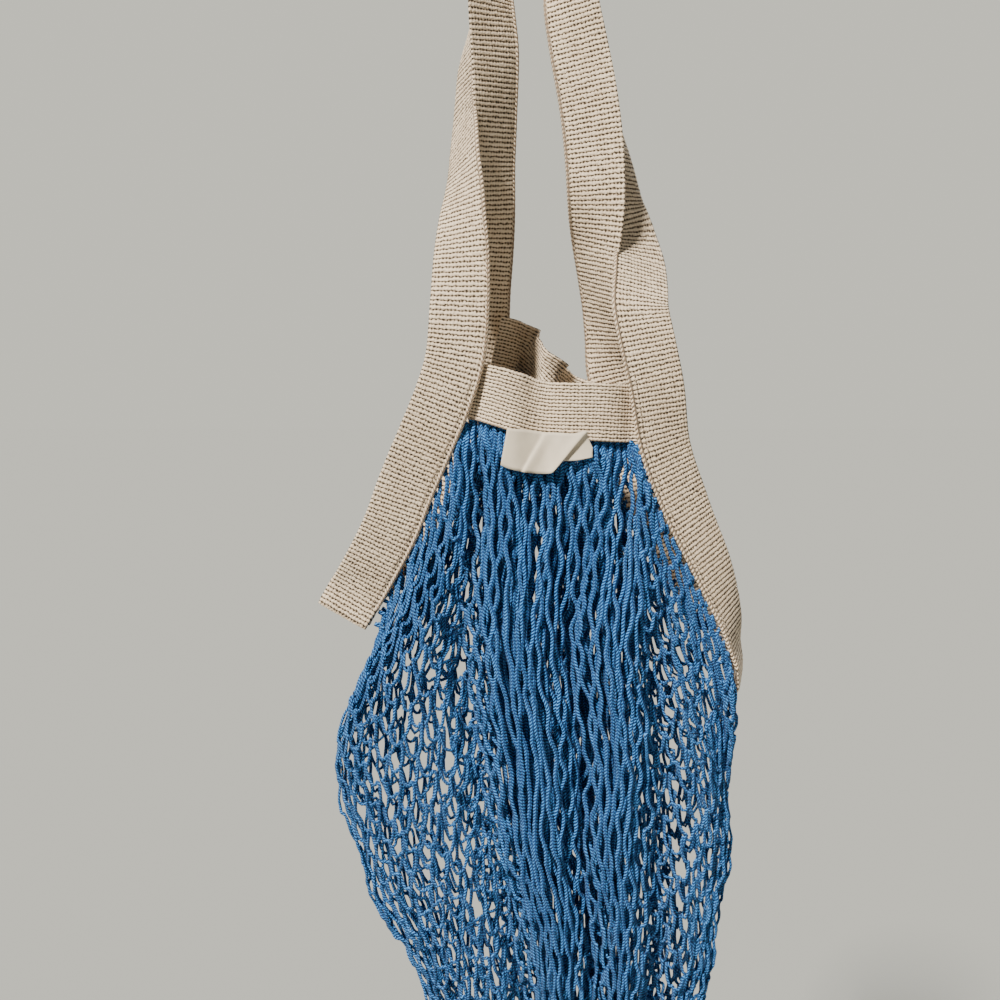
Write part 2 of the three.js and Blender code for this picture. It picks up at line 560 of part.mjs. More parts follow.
// The net as a wall on a lattice of lens-shaped gaps, each row shifted by half a gap from the last.
// A place on the lattice is given across in gaps and down in rows of gaps, with row 0 under the hem.
function netBody(name, material) {
  const corners = [];
  const faces = [];
  const known = new Map();
  const meanCell = (2 * (netLeft + netRight)) / gapsRound;
  const rowHeight = (netFall - netHem) / (gapRows + 1);
  const halfAcross = 0.5 * (1 - strandWidth / meanCell);
  const halfDown = 1 - strandWidth / rowHeight;
  const lastRow = gapRows + 1;
  const rim = -1;
  const corner = ([across, down]) => {
    const turned = ((across % gapsRound) + gapsRound) % gapsRound;
    const column = Math.round(turned * keyScale) % (gapsRound * keyScale);
    const key = `${column} ${Math.round(down * keyScale)}`;
    if (!known.has(key)) {
      known.set(key, corners.length);
      const fall = down === rim ? 0 : mix(netHem / netFall, solidEnd, down / lastRow);
      corners.push(...netCorners(turned / gapsRound, fall));
    }
    return known.get(key);
  };
  // A face of both skins, its loop running clockwise as seen from outside.
  const skin = (...loop) => {
    const inside = loop.map((n) => n + 1);
    faces.push([...loop].reverse(), inside);
  };
  // The outline of a gap from its top tip round by its right, bottom and left tips.
  const quarter = gapSteps;
  const outline = Array.from({ length: 4 * quarter }, (_, n) => {
    const angle = (n / (4 * quarter)) * 2 * Math.PI;
    const shape = (value) => Math.sign(value) * Math.abs(value) ** gapPointedness;
    return [halfAcross * shape(Math.sin(angle)), -halfDown * shape(Math.cos(angle))];
  });
  const tip = (column, line, n) => {
    const [x, y] = outline[(n + 4 * quarter) % (4 * quarter)];
    return [column + (line % 2) / 2 + x, line + 1 + y];
  };
  const at = (column, line, n) => corner(tip(column, line, n));
  const onRow = (place, down) => corner([place[0], down]);
  for (let line = 0; line < gapRows; line += 1) {
    for (let column = 0; column < gapsRound; column += 1) {
      const rightOf = column + (line % 2);
      const left = at(column, line, quarter);
      const right = at(column + 1, line, 3 * quarter);
      for (let n = 0; n < 4 * quarter; n += 1) {
        const a = at(column, line, n);
        const b = at(column, line, n + 1);
        faces.push([b, a, a + 1, b + 1]);
      }
      // The crossing between this gap and the next one round.
      const crossing = [right, left];
      if (line > 0) crossing.unshift(at(rightOf, line - 1, 2 * quarter));
      if (line < gapRows - 1) crossing.splice(crossing.indexOf(right) + 1, 0, at(rightOf, line + 1, 0));
      skin(...crossing);
      if (line === gapRows - 1) continue;
      // The strands from this gap's lower sides to the two gaps below it.
      for (let n = 0; n < quarter; n += 1) {
        const first = quarter + n;
        skin(
          at(column, line, first),
          at(rightOf, line + 1, 4 * quarter - n),
          at(rightOf, line + 1, 4 * quarter - n - 1),
          at(column, line, first + 1),
        );
        skin(
          at(column, line, first + quarter),
          at(rightOf - 1, line + 1, quarter - n),
          at(rightOf - 1, line + 1, quarter - n - 1),
          at(column, line, first + quarter + 1),
        );
      }
    }
  }
  // The solid hem above the first row and the solid bottom below the last one.
  const middle = corners.length;
  const foot = vector(netPlace(0, 1).place.x, 0, bottomHeight);
  [-1, 1].forEach((way) => corners.push(foot.clone().setZ(foot.z + (way * netThickness) / 2)));
  const hemEdge = (a, b) => {
    const [topA, topB] = [onRow(a, rim), onRow(b, rim)];
    skin(topA, topB, corner(b), corner(a));
    faces.push([topA, topB, topB + 1, topA + 1]);
  };
  const bottomEdge = (a, b) => {
    const [lowA, lowB] = [onRow(a, lastRow), onRow(b, lastRow)];
    skin(corner(a), corner(b), lowB, lowA);
    skin(lowA, lowB, middle);
  };
  const lastLine = gapRows - 1;
  for (let column = 0; column < gapsRound; column += 1) {
    for (let n = 0; n < 2 * quarter; n += 1) {
      const [over, under] = [3 * quarter + n, 3 * quarter - n];
      hemEdge(tip(column, 0, over), tip(column, 0, over + 1));
      bottomEdge(tip(column, lastLine, under), tip(column, lastLine, under - 1));
    }
    hemEdge(tip(column, 0, quarter), tip(column + 1, 0, 3 * quarter));
    bottomEdge(tip(column, lastLine, quarter), tip(column + 1, lastLine, 3 * quarter));
  }
  return meshFrom(name, corners, faces, material);
}

// The label, a folded strip of cloth that hangs over the lower edge of the front band.
function labelStations() {
  const band = bandStrips.front;
  const [start, end] = [band[0].centre.x, band.at(-1).centre.x];
  const clear = (Math.max(webbingThickness, netThickness) + labelThickness) / 2 + seamGap;
  return labelRows.map((row) => {
    const frame = band.find((f) => f.centre.x >= mix(start, end, row.along));
    const lower = frame.centre.clone().addScaledVector(frame.across, webbingWidth / 2);
    const centre = vector(lower.x, lower.y - clear - row.out * labelHeight, lower.z);
    centre.z += labelOverlap - row.drop * labelHeight;
    return { centre, across: vector(row.lean, 0, -1).normalize() };
  });
}

const group = new THREE.Group();
group.add(
  stripMesh("strap_front", frontStrap, webbingWidth, webbingThickness, webbing),
  stripMesh("strap_back", backStrap, webbingWidth, webbingThickness, webbing),
  stripMesh("band_front", bandStrips.front, webbingWidth, webbingThickness, webbing),
  stripMesh("band_back", bandStrips.back, webbingWidth, webbingThickness, webbing),
  stripMesh("label", stripFrames(labelStations(), legSteps), labelHeight, labelThickness, labelCloth),
  netBody("net_body", blueCotton),
);

export default group;
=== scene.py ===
import math

import bpy
import numpy as np
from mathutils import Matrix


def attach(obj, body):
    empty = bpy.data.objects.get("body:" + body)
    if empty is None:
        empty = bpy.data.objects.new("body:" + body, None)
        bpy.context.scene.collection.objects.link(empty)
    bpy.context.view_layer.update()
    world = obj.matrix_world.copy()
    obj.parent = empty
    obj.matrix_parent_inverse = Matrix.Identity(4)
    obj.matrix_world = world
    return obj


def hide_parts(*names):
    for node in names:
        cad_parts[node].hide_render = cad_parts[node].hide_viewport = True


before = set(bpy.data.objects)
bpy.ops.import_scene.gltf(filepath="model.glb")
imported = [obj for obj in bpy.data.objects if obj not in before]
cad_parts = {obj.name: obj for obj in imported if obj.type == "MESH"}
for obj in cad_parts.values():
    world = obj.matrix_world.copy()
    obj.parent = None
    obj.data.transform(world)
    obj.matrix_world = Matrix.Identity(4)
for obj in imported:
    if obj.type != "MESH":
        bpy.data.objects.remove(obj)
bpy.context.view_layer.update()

# Sizes in millimetres, as in the model. The hanging point is the origin and the front looks to -Y.
WEBBING_WIDTH = 35.0
WEBBING_THICKNESS = 2.0
HANDLE_DROP = 300.0
BACK_ARCH = 24.0
FRONT_ARCH = 38.0
FRONT_FOOT = {-1: 46.0, 1: 75.0}
BACK_FOOT = {-1: 30.0, 1: 57.0}
HALF_MOUTH = 33.0
REACH = {-1: 119.0, 1: 132.0}
EDGE_FALL = {-1: 150.0, 1: 192.0}
FOLD_GAP = 2.6
FOLD_TAIL = 12.0
BAND_TUCK = 7.0
NET_REACH = (126.0, 130.0)
NET_DEPTH = 42.0
NET_FALL = 485.0
SEAM_GAP = 0.4
FOLD_CLEARANCE = 0.8
RIM_GAP = 0.7
TURN_OFFSET = 5.0
TURN_REACH = 45.0
FOLD_OFFSET = (WEBBING_THICKNESS + FOLD_GAP) / 2
BOTTOM = -HANDLE_DROP - NET_FALL

# The legs of the handles: fall, side and depth as shares of the sizes above, and turn in degrees.
FRONT_LEFT = dict(
    arch=[(0, .3, 0, 90), (.032, .57, .05, 90), (.085, .8, .15, 90), (.155, .88, .28, 90),
          (.24, .92, .32, 88)],
    handle=[(.343, .86, .22, 72), (.453, .9, .1, 68), (.56, .9, -.4, 61), (.62, .9, -.6, 50),
            (.69, .92, -.8, 35), (.76, .92, -.92, 18), (.86, .94, -1, 4), (.96, 1, -1, 0)],
    edge=[(.08, .1, -.95, 0), (.24, .235, -.84, 0), (.45, .425, -.64, 0), (.63, .575, -.46, 0),
          (.8, .76, -.26, 0)])
FRONT_RIGHT = dict(
    arch=[(0, .3, 0, 90), (.032, .57, .06, 90), (.085, .78, .18, 90), (.155, .9, .26, 90),
          (.24, .96, .3, 88)],
    handle=[(.343, .55, .27, 82), (.453, .65, .24, 64), (.543, .715, .15, 50), (.64, .78, .04, 38),
            (.7, .86, .02, 31), (.75, .905, -.18, 28), (.8, .9, -.48, 20), (.86, .885, -.78, 12),
            (.945, .95, -.91, 12)],
    edge=[(.03, .02, -.9, 15), (.21, .12, -.8, 24), (.41, .37, -.66, 30), (.6, .67, -.52, 37),
          (.7, .81, -.45, 46), (.8, .93, -.37, 58), (.89, .99, -.29, 70)])
BACK_LEFT = dict(
    arch=[(.007, .38, 0, 90), (.037, .68, -.06, 88), (.09, .86, -.15, 80), (.16, .96, -.27, 60),
          (.245, 1, -.36, 40)],
    handle=[(.343, .73, -.28, 36), (.453, .72, -.13, 44), (.56, .77, .08, 42), (.683, .8, .36, 38),
            (.81, .93, .62, 28), (.93, 1.08, .82, 12)],
    edge=[(.17, .2, .86, 0), (.4, .38, .73, 0), (.63, .58, .52, 0), (.83, .79, .3, 0)])
BACK_RIGHT = dict(
    arch=[(.007, .38, 0, 90), (.037, .68, -.06, 88), (.09, .85, -.18, 74), (.16, .95, -.3, 48),
          (.245, 1, -.36, 25)],
    handle=[(.343, .51, -.38, 12), (.45, .61, -.43, 14), (.543, .67, -.44, 12), (.64, .7, -.42, 16),
            (.693, .705, -.27, 30), (.743, .71, -.06, 48), (.8, .742, .16, 58), (.86, .8, .4, 60),
            (.925, .88, .62, 48), (.99, .97, .79, 18)],
    edge=[(.245, .18, .85, 0), (.48, .36, .66, -14), (.7, .64, .24, -44), (.82, .84, -.02, -68)])
LEFT_END = (0, 0)
RIGHT_END = (-.2, 74)

# The bands: share along, bulge and sag in rows. The rise, sag and bulge themselves are in millimetres.
FRONT_BAND = dict(rise=10.0, sag=15.0, bulge=8.0, rows=[
    (0, 0, 0), (.08, 0, .06), (.17, .65, .22), (.29, .85, .5), (.39, .42, .75), (.45, .36, .83),
    (.56, .85, .87), (.74, .95, .9), (.85, .6, .95), (.93, 0, .98), (1, 0, 1)])
BACK_BAND = dict(rise=42.0, sag=46.0, bulge=22.0, rows=[
    (0, 0, .02), (.08, 0, .05), (.17, .14, .09), (.25, .34, .15), (.32, .1, .26), (.36, -.36, .36),
    (.4, -.75, .5), (.47, -.82, .64), (.57, -.5, .76), (.68, -.05, .88), (.8, .06, .94),
    (.91, 0, .98), (1, 0, 1)])
BAND_COVERED = 0.104  # share of a band under each strap

# The net body: share down its middle, fall, left, right and depth, each as a share of its size above.
BODY_ROWS = np.array([
    (0, 0, .84, .99, .3), (.06, .06, .93, 1, .5), (.15, .15, .985, 1.01, .8), (.25, .26, 1, .98, .95),
    (.35, .37, .955, 1, 1), (.42, .45, .87, .995, 1), (.52, .56, .79, .94, .98),
    (.62, .67, .62, .92, .92), (.72, .78, .5, .86, .82), (.8, .86, .37, .75, .68),
    (.87, .925, .2, .56, .5), (.94, .975, 0, .34, .28), (1, 1, -.16, .17, .03)])
# Columns across each face: share, side. Folds down it: side, width, depth.
FRONT_SPREAD = np.array([
    (0, -1), (.04, -.985), (.12, -.88), (.3, -.36), (.5, .06), (.72, .52), (.86, .9), (.96, .985), (1, 1)])
BACK_SPREAD = np.array([
    (0, -1), (.04, -.985), (.12, -.89), (.3, -.42), (.5, 0), (.7, .42), (.88, .9), (.96, .985), (1, 1)])
FRONT_FOLDS = [(-.7, .16, -.14), (-.36, .08, .5), (-.08, .12, -.1), (.17, .07, .26), (.4, .1, -.12),
               (.63, .08, .42), (.84, .1, -.1)]
BACK_FOLDS = [(-.45, .14, .3), (.05, .12, .22), (.5, .14, .3)]
EDGE_SHARE = 0.3
RIM_BLEND = 0.3
BODY_ROUNDNESS = 2.2
FOLDS_IN = (0, 0.25)  # shares down, from where the folds begin to where they are whole
FOLDS_OUT = (0.75, 0.97)
CORNER_CLEARANCE = 4  # from a band's end down to the first place of the net on a handle

# The webbing's weave. The crest and the dip at a gap between columns are for a rib and for beside one.
RIB_PITCH = 2.9
COLUMNS_ACROSS = 16
BAND_STEP = 1.15
RELIEF = 0.42
RIB_CREST = (0.9, -0.45)
GAP_DIP = (-0.1, -0.5)
COLUMN_LIFT = 0.1
WEAVE_UNEVEN = 0.07
EDGE_THICKNESS = 0.45  # share of the middle's
EDGE_WANDER = 1.6
STATION_SAMPLES = 60  # of a strip's middle line, from one station to the next

# The net: knitted chains, joined in rows, and folds of the same net behind them.
CHAINS = 120
CHAIN_WIDTH = 3.0
CHAIN_DEPTH = 2.4
CHAIN_SIDES = 6
RINGS_PER_ROW = 7
NET_ROWS = 34
JOINED_PITCH = (2.55, 1.0)  # from one chain to the next where they are joined, drawn straight and slack
STITCH_LENGTH = 2.0
NET_END = 0.955  # share of the fall where the gathered bottom takes over
FALL_SAMPLES = 900
FIRST_RING_GAP = 0.06  # in rows
PLEAT_INSETS = (6.0, 13.0)
FOLD_SPANS = (("front", 0.13, 0.38), ("back", 0.53, 0.97)), (("front", 0.14, 0.37), ("back", 0.63, 0.86))
FOLD_CHAIN_SIDES = 5
FOLD_RINGS_PER_ROW = 5
INSET_OF_ROW = 5  # a fold that lies this much further in has its rows one higher up

# Where the net hangs slack: from and to which side across a face, and from and to which share down.
SLACK_LEFT = (-0.22, -0.45)
SLACK_RIGHT = (0.48, 0.66)
SIDE_SLACK_DOWN = (0.02, 0.2)
LOWER_SLACK_DOWN = (0.4, 0.75)
LOWER_SLACK = 0.8

# How the chains hang. A pair is for a net drawn straight by its weight and for one that hangs slack.
BEND_SHARPNESS = (0.5, 1.3)
SAG = (0.1, 1.1)  # in pitches
MOST_SAG = 6.5
SLACK_THINNING = 0.24
END_THINNING = 0.35
CLUMPING = 0.75  # in pitches
CLUMP_LOSS = 0.6  # share lost where the net is slack
CROWDED_PITCH = 3.6
CROWD_START = 1.6  # in crowded pitches
CROWD_STEP = 0.5  # in and out in turn, where the chains have too little room side by side

# The shares down where the chains come into their own, from the hem, and where they end.
OPEN_IN = (0, 0.02)
CLUMP_IN = (0, 0.05)
INSET_IN = (0, 0.1)
INSET_OUT = (0.8, NET_END)
THIN_END = (0.86, NET_END)

# How uneven the chains are. The wanders are sums of waves: waves round the bag, waves per row, start.
ROW_UNEVEN = 0.4
SWAY_UNEVEN = 0.4
DEPTH_UNEVEN = 2.4
WOBBLE = np.array([1.3, 1.2, 1.0])
TWIST = 1.2
LUMPS = 0.09
ROW_WANDER = [(5, 0.03, 0.1), (11, -0.05, 0.4), (23, 0.11, 0.7)]
CLUMPS = [(17, 0.045, 0.2), (29, -0.06, 0.55), (41, 0.09, 0.9)]
DEPTH_WANDER = [(13, 0.05, 0.3), (31, -0.08, 0.15), (53, 0.13, 0.6)]

# How the chains begin behind the webbing, at the front (-1) and the back (1).
HEM_GAP = 0.2
HEM_TUCK = {-1: 4.2, 1: 2.0}
TUCK_LENGTH = 12
TUCK_SHARES = np.array([[1.0], [0.67], [0.33]])
FOLD_BEHIND = 2.2

# The gathered bottom, the edge cords and the stitches.
# A cord has a radius, an inset from the webbing's edge and a lift off its middle.
GATHER_RINGS = 16
GATHER_OVERLAP = 0.035
GATHER_PLEAT = 1.5
GATHER_FADE = 0.6  # share of a pleat that is lost by the end
GATHER_INSET = 1.0
GATHER_STITCHES = 1.4
HEM_CORD = (0.55, 0.3, 0.75)
SELVEDGE = (1.35, 0.5, 0.1)
SELVEDGE_STITCH = 2.6
CORD_SIDES = 6
CORD_BARE = 0.6  # of a band's stations at each end, where it lies under a strap
CORD_UNEVEN = (0.08, 1.9)  # share of the radius, and radians from ring to ring
SEWN_STEP = 3.4
SEWN_INSET = 4.2
SEWN_ABOVE = 6
SEWN_RADIUS = 0.32
SEWN_SIDES = 5
SEWN_ROOM = 3  # for the last stitch of a row
SEWN_PLAIT = 1.5
SEWN_SHAPE = np.array([(0, .7, .6), (.8, 1.15, 1), (1.6, 1.15, 1), (2.4, .7, .6)])  # along, lift, thickness

MILLIMETRE = 0.001


def ease(start, end, value):
    share = np.clip((value - start) / (end - start), 0, 1)
    return share * share * (3 - 2 * share)


def mix(low, high, share):
    return low + (high - low) * share


def unit(vectors):
    return vectors / np.maximum(np.linalg.norm(vectors, axis=-1, keepdims=True), 1e-9)


def read_table(rows, at, column=1):
    """A column of a table on a smooth curve through its rows."""
    x, y = rows[:, 0], rows[:, column]
    place = np.clip(at, x[0], x[-1])
    i = np.clip(np.searchsorted(x, place, side="left") - 1, 0, len(x) - 2)
    order = np.arange(len(x))
    before, after = np.maximum(order - 1, 0), np.minimum(order + 1, len(x) - 1)
    slope = (y[after] - y[before]) / (x[after] - x[before])
    span = x[i + 1] - x[i]
    s = (place - x[i]) / span
    return ((2 * s**3 - 3 * s**2 + 1) * y[i] + (s**3 - 2 * s**2 + s) * span * slope[i]
            + (3 * s**2 - 2 * s**3) * y[i + 1] + (s**3 - s**2) * span * slope[i + 1])


def smooth_line(points, at):
    """Places on a smooth curve through points, where at counts from point to point."""
    p = np.vstack([2 * points[0] - points[1], points, 2 * points[-1] - points[-2]])
    i = np.clip(at.astype(int), 0, len(points) - 2)
    s = (at - i)[:, None]
    p0, p1, p2, p3 = p[i], p[i + 1], p[i + 2], p[i + 3]
    spans = ((p0, p1), (p1, p2), (p2, p3))
    d0, d1, d2 = (np.linalg.norm(b - a, axis=1)[:, None] ** 0.5 for a, b in spans)
    start = ((p1 - p0) / d0 - (p2 - p0) / (d0 + d1) + (p2 - p1) / d1) * d1
    end = ((p2 - p1) / d1 - (p3 - p1) / (d1 + d2) + (p3 - p2) / d2) * d1
    return p1 + start * s + (3 * (p2 - p1) - 2 * start - end) * s**2 + (2 * (p1 - p2) + start + end) * s**3


def soften(values, reach, passes=2):
    """Running mean along the first axis."""
    window = np.ones(2 * reach + 1) / (2 * reach + 1)
    for _ in range(passes):
        padded = np.pad(values, ((reach, reach), (0, 0)), mode="edge")
        values = np.stack([np.convolve(column, window, "valid") for column in padded.T], axis=1)
    return values


def run_along(points):
    """The length from the first of the points to each of them."""
    return np.concatenate([[0], np.cumsum(np.linalg.norm(np.diff(points, axis=0), axis=1))])


class Strip:
    """Evenly spaced frames along a strip: centre, across its width, and the way its outer face looks."""

    def __init__(self, centres, acrosses, step):
        centres, acrosses = np.array(centres, float), np.array(acrosses, float)
        at = np.linspace(0, len(centres) - 1, STATION_SAMPLES * (len(centres) - 1) + 1)
        line = smooth_line(centres, at)
        length = run_along(line)
        self.distance = np.linspace(0, length[-1], round(length[-1] / step) + 1)
        self.at = np.interp(self.distance, length, at)
        self.centre = smooth_line(centres, self.at)
        self.along = unit(np.gradient(self.centre, axis=0))
        stations = np.arange(len(acrosses))
        across = np.stack([np.interp(self.at, stations, column) for column in acrosses.T], axis=1)
        across = soften(across, 4)
        across -= self.along * np.sum(across * self.along, axis=1, keepdims=True)
        self.across = unit(across)
        self.face = np.cross(self.across, self.along)

    def place(self, rows, side, out):
        """Places beside and in front of the strip's middle."""
        return (self.centre[rows] + self.across[rows] * np.asarray(side)[..., None]
                + self.face[rows] * np.asarray(out)[..., None])


def leg_stations(leg, side, spin, arch, foot, end):
    """Centres and across directions of one leg, from the hanging point to its side point."""
    reach, fall = REACH[side], EDGE_FALL[side]
    rows = [(r[1] * arch, r[2], -r[0] * HANDLE_DROP, r[3]) for r in leg["arch"]]
    rows += [(r[1] * foot, r[2], -r[0] * HANDLE_DROP, r[3]) for r in leg["handle"]]
    rows += [(mix(foot, reach, r[1]), r[2], -HANDLE_DROP - r[0] * fall, r[3]) for r in leg["edge"]]
    rows.append((reach, end[0], -HANDLE_DROP - fall, end[1]))
    return [(np.array([side * x, depth * HALF_MOUTH, z]),
             np.array([spin * math.cos(math.radians(turn)), -math.sin(math.radians(turn)), 0]))
            for x, depth, z, turn in rows]


def side_fold(stations, spin):
    """The fold at a side point: point, down, across and the way its front face looks."""
    (before, _), (point, across) = stations[-2:]
    face = np.cross(across, (0, 0, spin))
    down = point - before
    down = unit(down - face * np.dot(down, face))
    return point, down, unit(across - down * np.dot(across, down)), face


def turned_under(fold):
    point, down, across, face = fold
    turns = [point + FOLD_OFFSET * (face * math.cos(a) + down * math.sin(a))
             for a in np.linspace(0, math.pi, 5)]
    head, tail = (point + layer * FOLD_OFFSET * face - FOLD_TAIL * down for layer in (1, -1))
    return [(centre, across) for centre in [head, *turns, tail]]


def seat_back_end(stations, fold):
    """The back webbing ends against the turned end of the front webbing."""
    point, down, across, face = fold
    end = point - face * (FOLD_OFFSET + WEBBING_THICKNESS + FOLD_CLEARANCE)
    return stations[:-1] + [(end - down * 1.7 * FOLD_TAIL, -across), (end, -across)]


front_left = leg_stations(FRONT_LEFT, -1, 1, FRONT_ARCH, FRONT_FOOT[-1], LEFT_END)
front_right = leg_stations(FRONT_RIGHT, 1, -1, FRONT_ARCH, FRONT_FOOT[1], RIGHT_END)
left_fold = side_fold(front_left, 1)
right_fold = side_fold(front_right, -1)
back_left = seat_back_end(leg_stations(BACK_LEFT, -1, -1, BACK_ARCH, BACK_FOOT[-1], LEFT_END), left_fold)
back_right = seat_back_end(leg_stations(BACK_RIGHT, 1, 1, BACK_ARCH, BACK_FOOT[1], RIGHT_END), right_fold)
turned = turned_under(left_fold)[::-1]
CREST_ACROSS = np.array([0, -1, 0])
back_crest = [(np.array([0, 0, WEBBING_THICKNESS / 2]), CREST_ACROSS)]
front_crest = [(np.array([0, 0, 1.5 * WEBBING_THICKNESS + SEAM_GAP]), CREST_ACROSS)]
front_stations = turned + front_left[-2::-1] + front_crest + front_right[:-1] + turned_under(right_fold)
back_stations = back_left[::-1] + back_crest + back_right
strap = {-1: Strip(*zip(*front_stations), RIB_PITCH / 2), 1: Strip(*zip(*back_stations), RIB_PITCH / 2)}

# Layer -1 is the front and 1 the back. Each leg runs from the crest to its side point.
crest_at = {-1: len(turned) + len(front_left) - 1, 1: len(back_left)}
leg_end = {(-1, -1): len(turned) - 1, (-1, 1): len(front_stations) - len(turned),
           (1, -1): 0, (1, 1): len(back_stations) - 1}


def leg_rows(layer, side, kept=0.0):
    """Rows of one leg, from the crest down, without the last kept stations."""
    at = strap[layer].at
    if side < 0:
        return np.flatnonzero((at <= crest_at[layer]) & (at >= leg_end[layer, side] + kept))[::-1]
    return np.flatnonzero((at >= crest_at[layer]) & (at <= leg_end[layer, side] - kept))


def band_end(layer, side, height):
    rows, s, inner = leg_rows(layer, side), strap[layer], -layer
    gap = np.abs(s.centre[rows, 2] - height)
    row = rows[np.argmin(gap)]
    x = (s.centre[row] + s.across[row] * inner * (WEBBING_WIDTH / 2 - BAND_TUCK))[0]
    beside = s.centre[rows[gap < 0.6 * WEBBING_WIDTH], 1] * inner
    return x, inner * (beside.max() + WEBBING_THICKNESS + SEAM_GAP)


def band_strip(layer, band):
    top = -HANDLE_DROP + band["rise"] - WEBBING_WIDTH / 2
    (x0, y0), (x1, y1) = band_end(layer, -1, top), band_end(layer, 1, top - band["sag"])
    centres = [(mix(x0, x1, along), mix(y0, y1, along) + layer * bulge * band["bulge"],
                top - sag * band["sag"]) for along, bulge, sag in band["rows"]]
    return Strip(centres, [(0, 0, layer)] * len(centres), BAND_STEP)


band = {-1: band_strip(-1, FRONT_BAND), 1: band_strip(1, BACK_BAND)}


def rim_table(layer):
    """The line that the net hangs from on one face: share, place, face and the way off the webbing."""
    inner = -layer

    def edge(strip, rows):
        centre = strip.centre[rows]
        distances = (np.linalg.norm(centre - fold[0], axis=1) for fold in (left_fold, right_fold))
        near = [1 - ease(0, TURN_REACH, distance) for distance in distances]
        away = strip.across[rows] * inner
        reach = WEBBING_WIDTH / 2 + RIM_GAP + TURN_OFFSET * np.maximum(*near)
        return np.hstack([centre + away * reach[:, None], strip.face[rows], away])

    def side_end(fold):
        point, _, across, _ = fold
        place = point + across * (WEBBING_WIDTH / 2 + RIM_GAP + TURN_OFFSET)
        return np.concatenate([place, -across, across])[None]

    b = band[layer]
    last = b.at[-1]
    hem = edge(b, np.flatnonzero((b.at >= BAND_COVERED * last) & (b.at <= (1 - BAND_COVERED) * last)))
    sides = {}
    for side, corner in ((-1, hem[0]), (1, hem[-1])):
        rows = edge(strap[layer], leg_rows(layer, side, kept=0.5))
        sides[side] = rows[rows[:, 2] < corner[2] - CORNER_CLEARANCE]
    left = np.vstack([side_end(left_fold), sides[-1][::-1]])
    right = np.vstack([sides[1], side_end(right_fold)])
    parts = [left, np.vstack([left[-1:], hem, right[:1]]), right]
    table = []
    ends = ((0, EDGE_SHARE), (EDGE_SHARE, 1 - EDGE_SHARE), (1 - EDGE_SHARE, 1))
    for part, (start, end) in zip(parts, ends):
        length = run_along(part[:, :3])
        table.append(np.hstack([mix(start, end, length / length[-1])[:, None], part]))
    return np.vstack(table)


rim = {-1: rim_table(-1), 1: rim_table(1)}
folds = {-1: FRONT_FOLDS, 1: BACK_FOLDS}


def face_share(turn):
    """The layer and the share across its face, for a share of the way round the bag."""
    turn = turn % 1
    layer = np.where(turn < 0.5, -1, 1)
    return layer, np.where(turn < 0.5, 2 * turn, 2 - 2 * turn)


def rim_at(turn, first, count=3):
    layer, share = face_share(turn)
    found = np.zeros(turn.shape + (count,))
    for way in (-1, 1):
        table = rim[way]
        values = np.stack([np.interp(share, table[:, 0], table[:, first + n]) for n in range(count)], axis=-1)
        found = np.where((layer == way)[..., None], values, found)
    return found


def net_side(turn):
    layer, share = face_share(turn)
    return np.where(layer < 0, read_table(FRONT_SPREAD, share), read_table(BACK_SPREAD, share))


def net_place(turn, down):
    """Places on the middle of the net's wall. Turn runs round from the left side point along the front."""
    layer, _ = face_share(turn)
    side = net_side(turn)
    fall, left, right, depth = (read_table(BODY_ROWS, down, n) for n in range(1, 5))
    fold = np.zeros(turn.shape)
    for way in (-1, 1):
        here = sum(d * np.exp(-(((side - s) / w) ** 2)) for s, w, d in folds[way])
        fold = np.where(layer == way, here, fold)
    fold = fold * ease(*FOLDS_IN, down) * (1 - ease(*FOLDS_OUT, down))
    swell = np.sqrt(np.maximum(0, 1 - np.abs(side) ** BODY_ROUNDNESS))
    body = np.stack([mix(-NET_REACH[0] * left, NET_REACH[1] * right, (side + 1) / 2),
                     layer * NET_DEPTH * (depth - fold) * swell, np.zeros(turn.shape)], axis=-1)
    top = rim_at(turn, 1)
    place = top + (body - top) * ease(0, RIM_BLEND, down)[..., None]
    place[..., 2] = mix(top[..., 2], BOTTOM, fall)
    return place


def net_out(turn, down):
    """The way out of the bag, and one chain's pitch, in millimetres."""
    step = 0.002
    low = np.clip(down, step, 1 - step)
    about = net_place(turn + step, low) - net_place(turn - step, low)
    fall = net_place(turn, low + step) - net_place(turn, low - step)
    return unit(np.cross(fall, about)), np.linalg.norm(about, axis=-1) / (2 * step * CHAINS)


def wave(turn, row, terms):
    """A smooth wander that neighbouring chains share, from -1 to 1."""
    turns = (turn * about + row * down + start for about, down, start in terms)
    return sum(np.sin(2 * np.pi * angle) for angle in turns) / len(terms)


def add_mesh(name, vertices, faces, uvs, material):
    """A piece from vertices in millimetres, faces of four or more corners and a UV for each corner."""
    mesh = bpy.data.meshes.new(name)
    sizes = np.array([len(f) for f in faces])
    loops = np.fromiter((v for f in faces for v in f), int, sizes.sum())
    mesh.vertices.add(len(vertices))
    mesh.vertices.foreach_set("co", (np.asarray(vertices) * MILLIMETRE).astype(np.float32).ravel())
    mesh.loops.add(len(loops))
    mesh.loops.foreach_set("vertex_index", loops)
    mesh.polygons.add(len(sizes))
    mesh.polygons.foreach_set("loop_start", np.concatenate([[0], np.cumsum(sizes)[:-1]]))
    mesh.polygons.foreach_set("use_smooth", np.ones(len(sizes), bool))
    mesh.uv_layers.new(name="weave").data.foreach_set("uv", np.asarray(uvs, np.float32).ravel())
    mesh.update(calc_edges=True)
    mesh.validate()
    mesh.materials.append(material)
    piece = bpy.data.objects.new(name, mesh)
    bpy.context.scene.collection.objects.link(piece)
    return piece


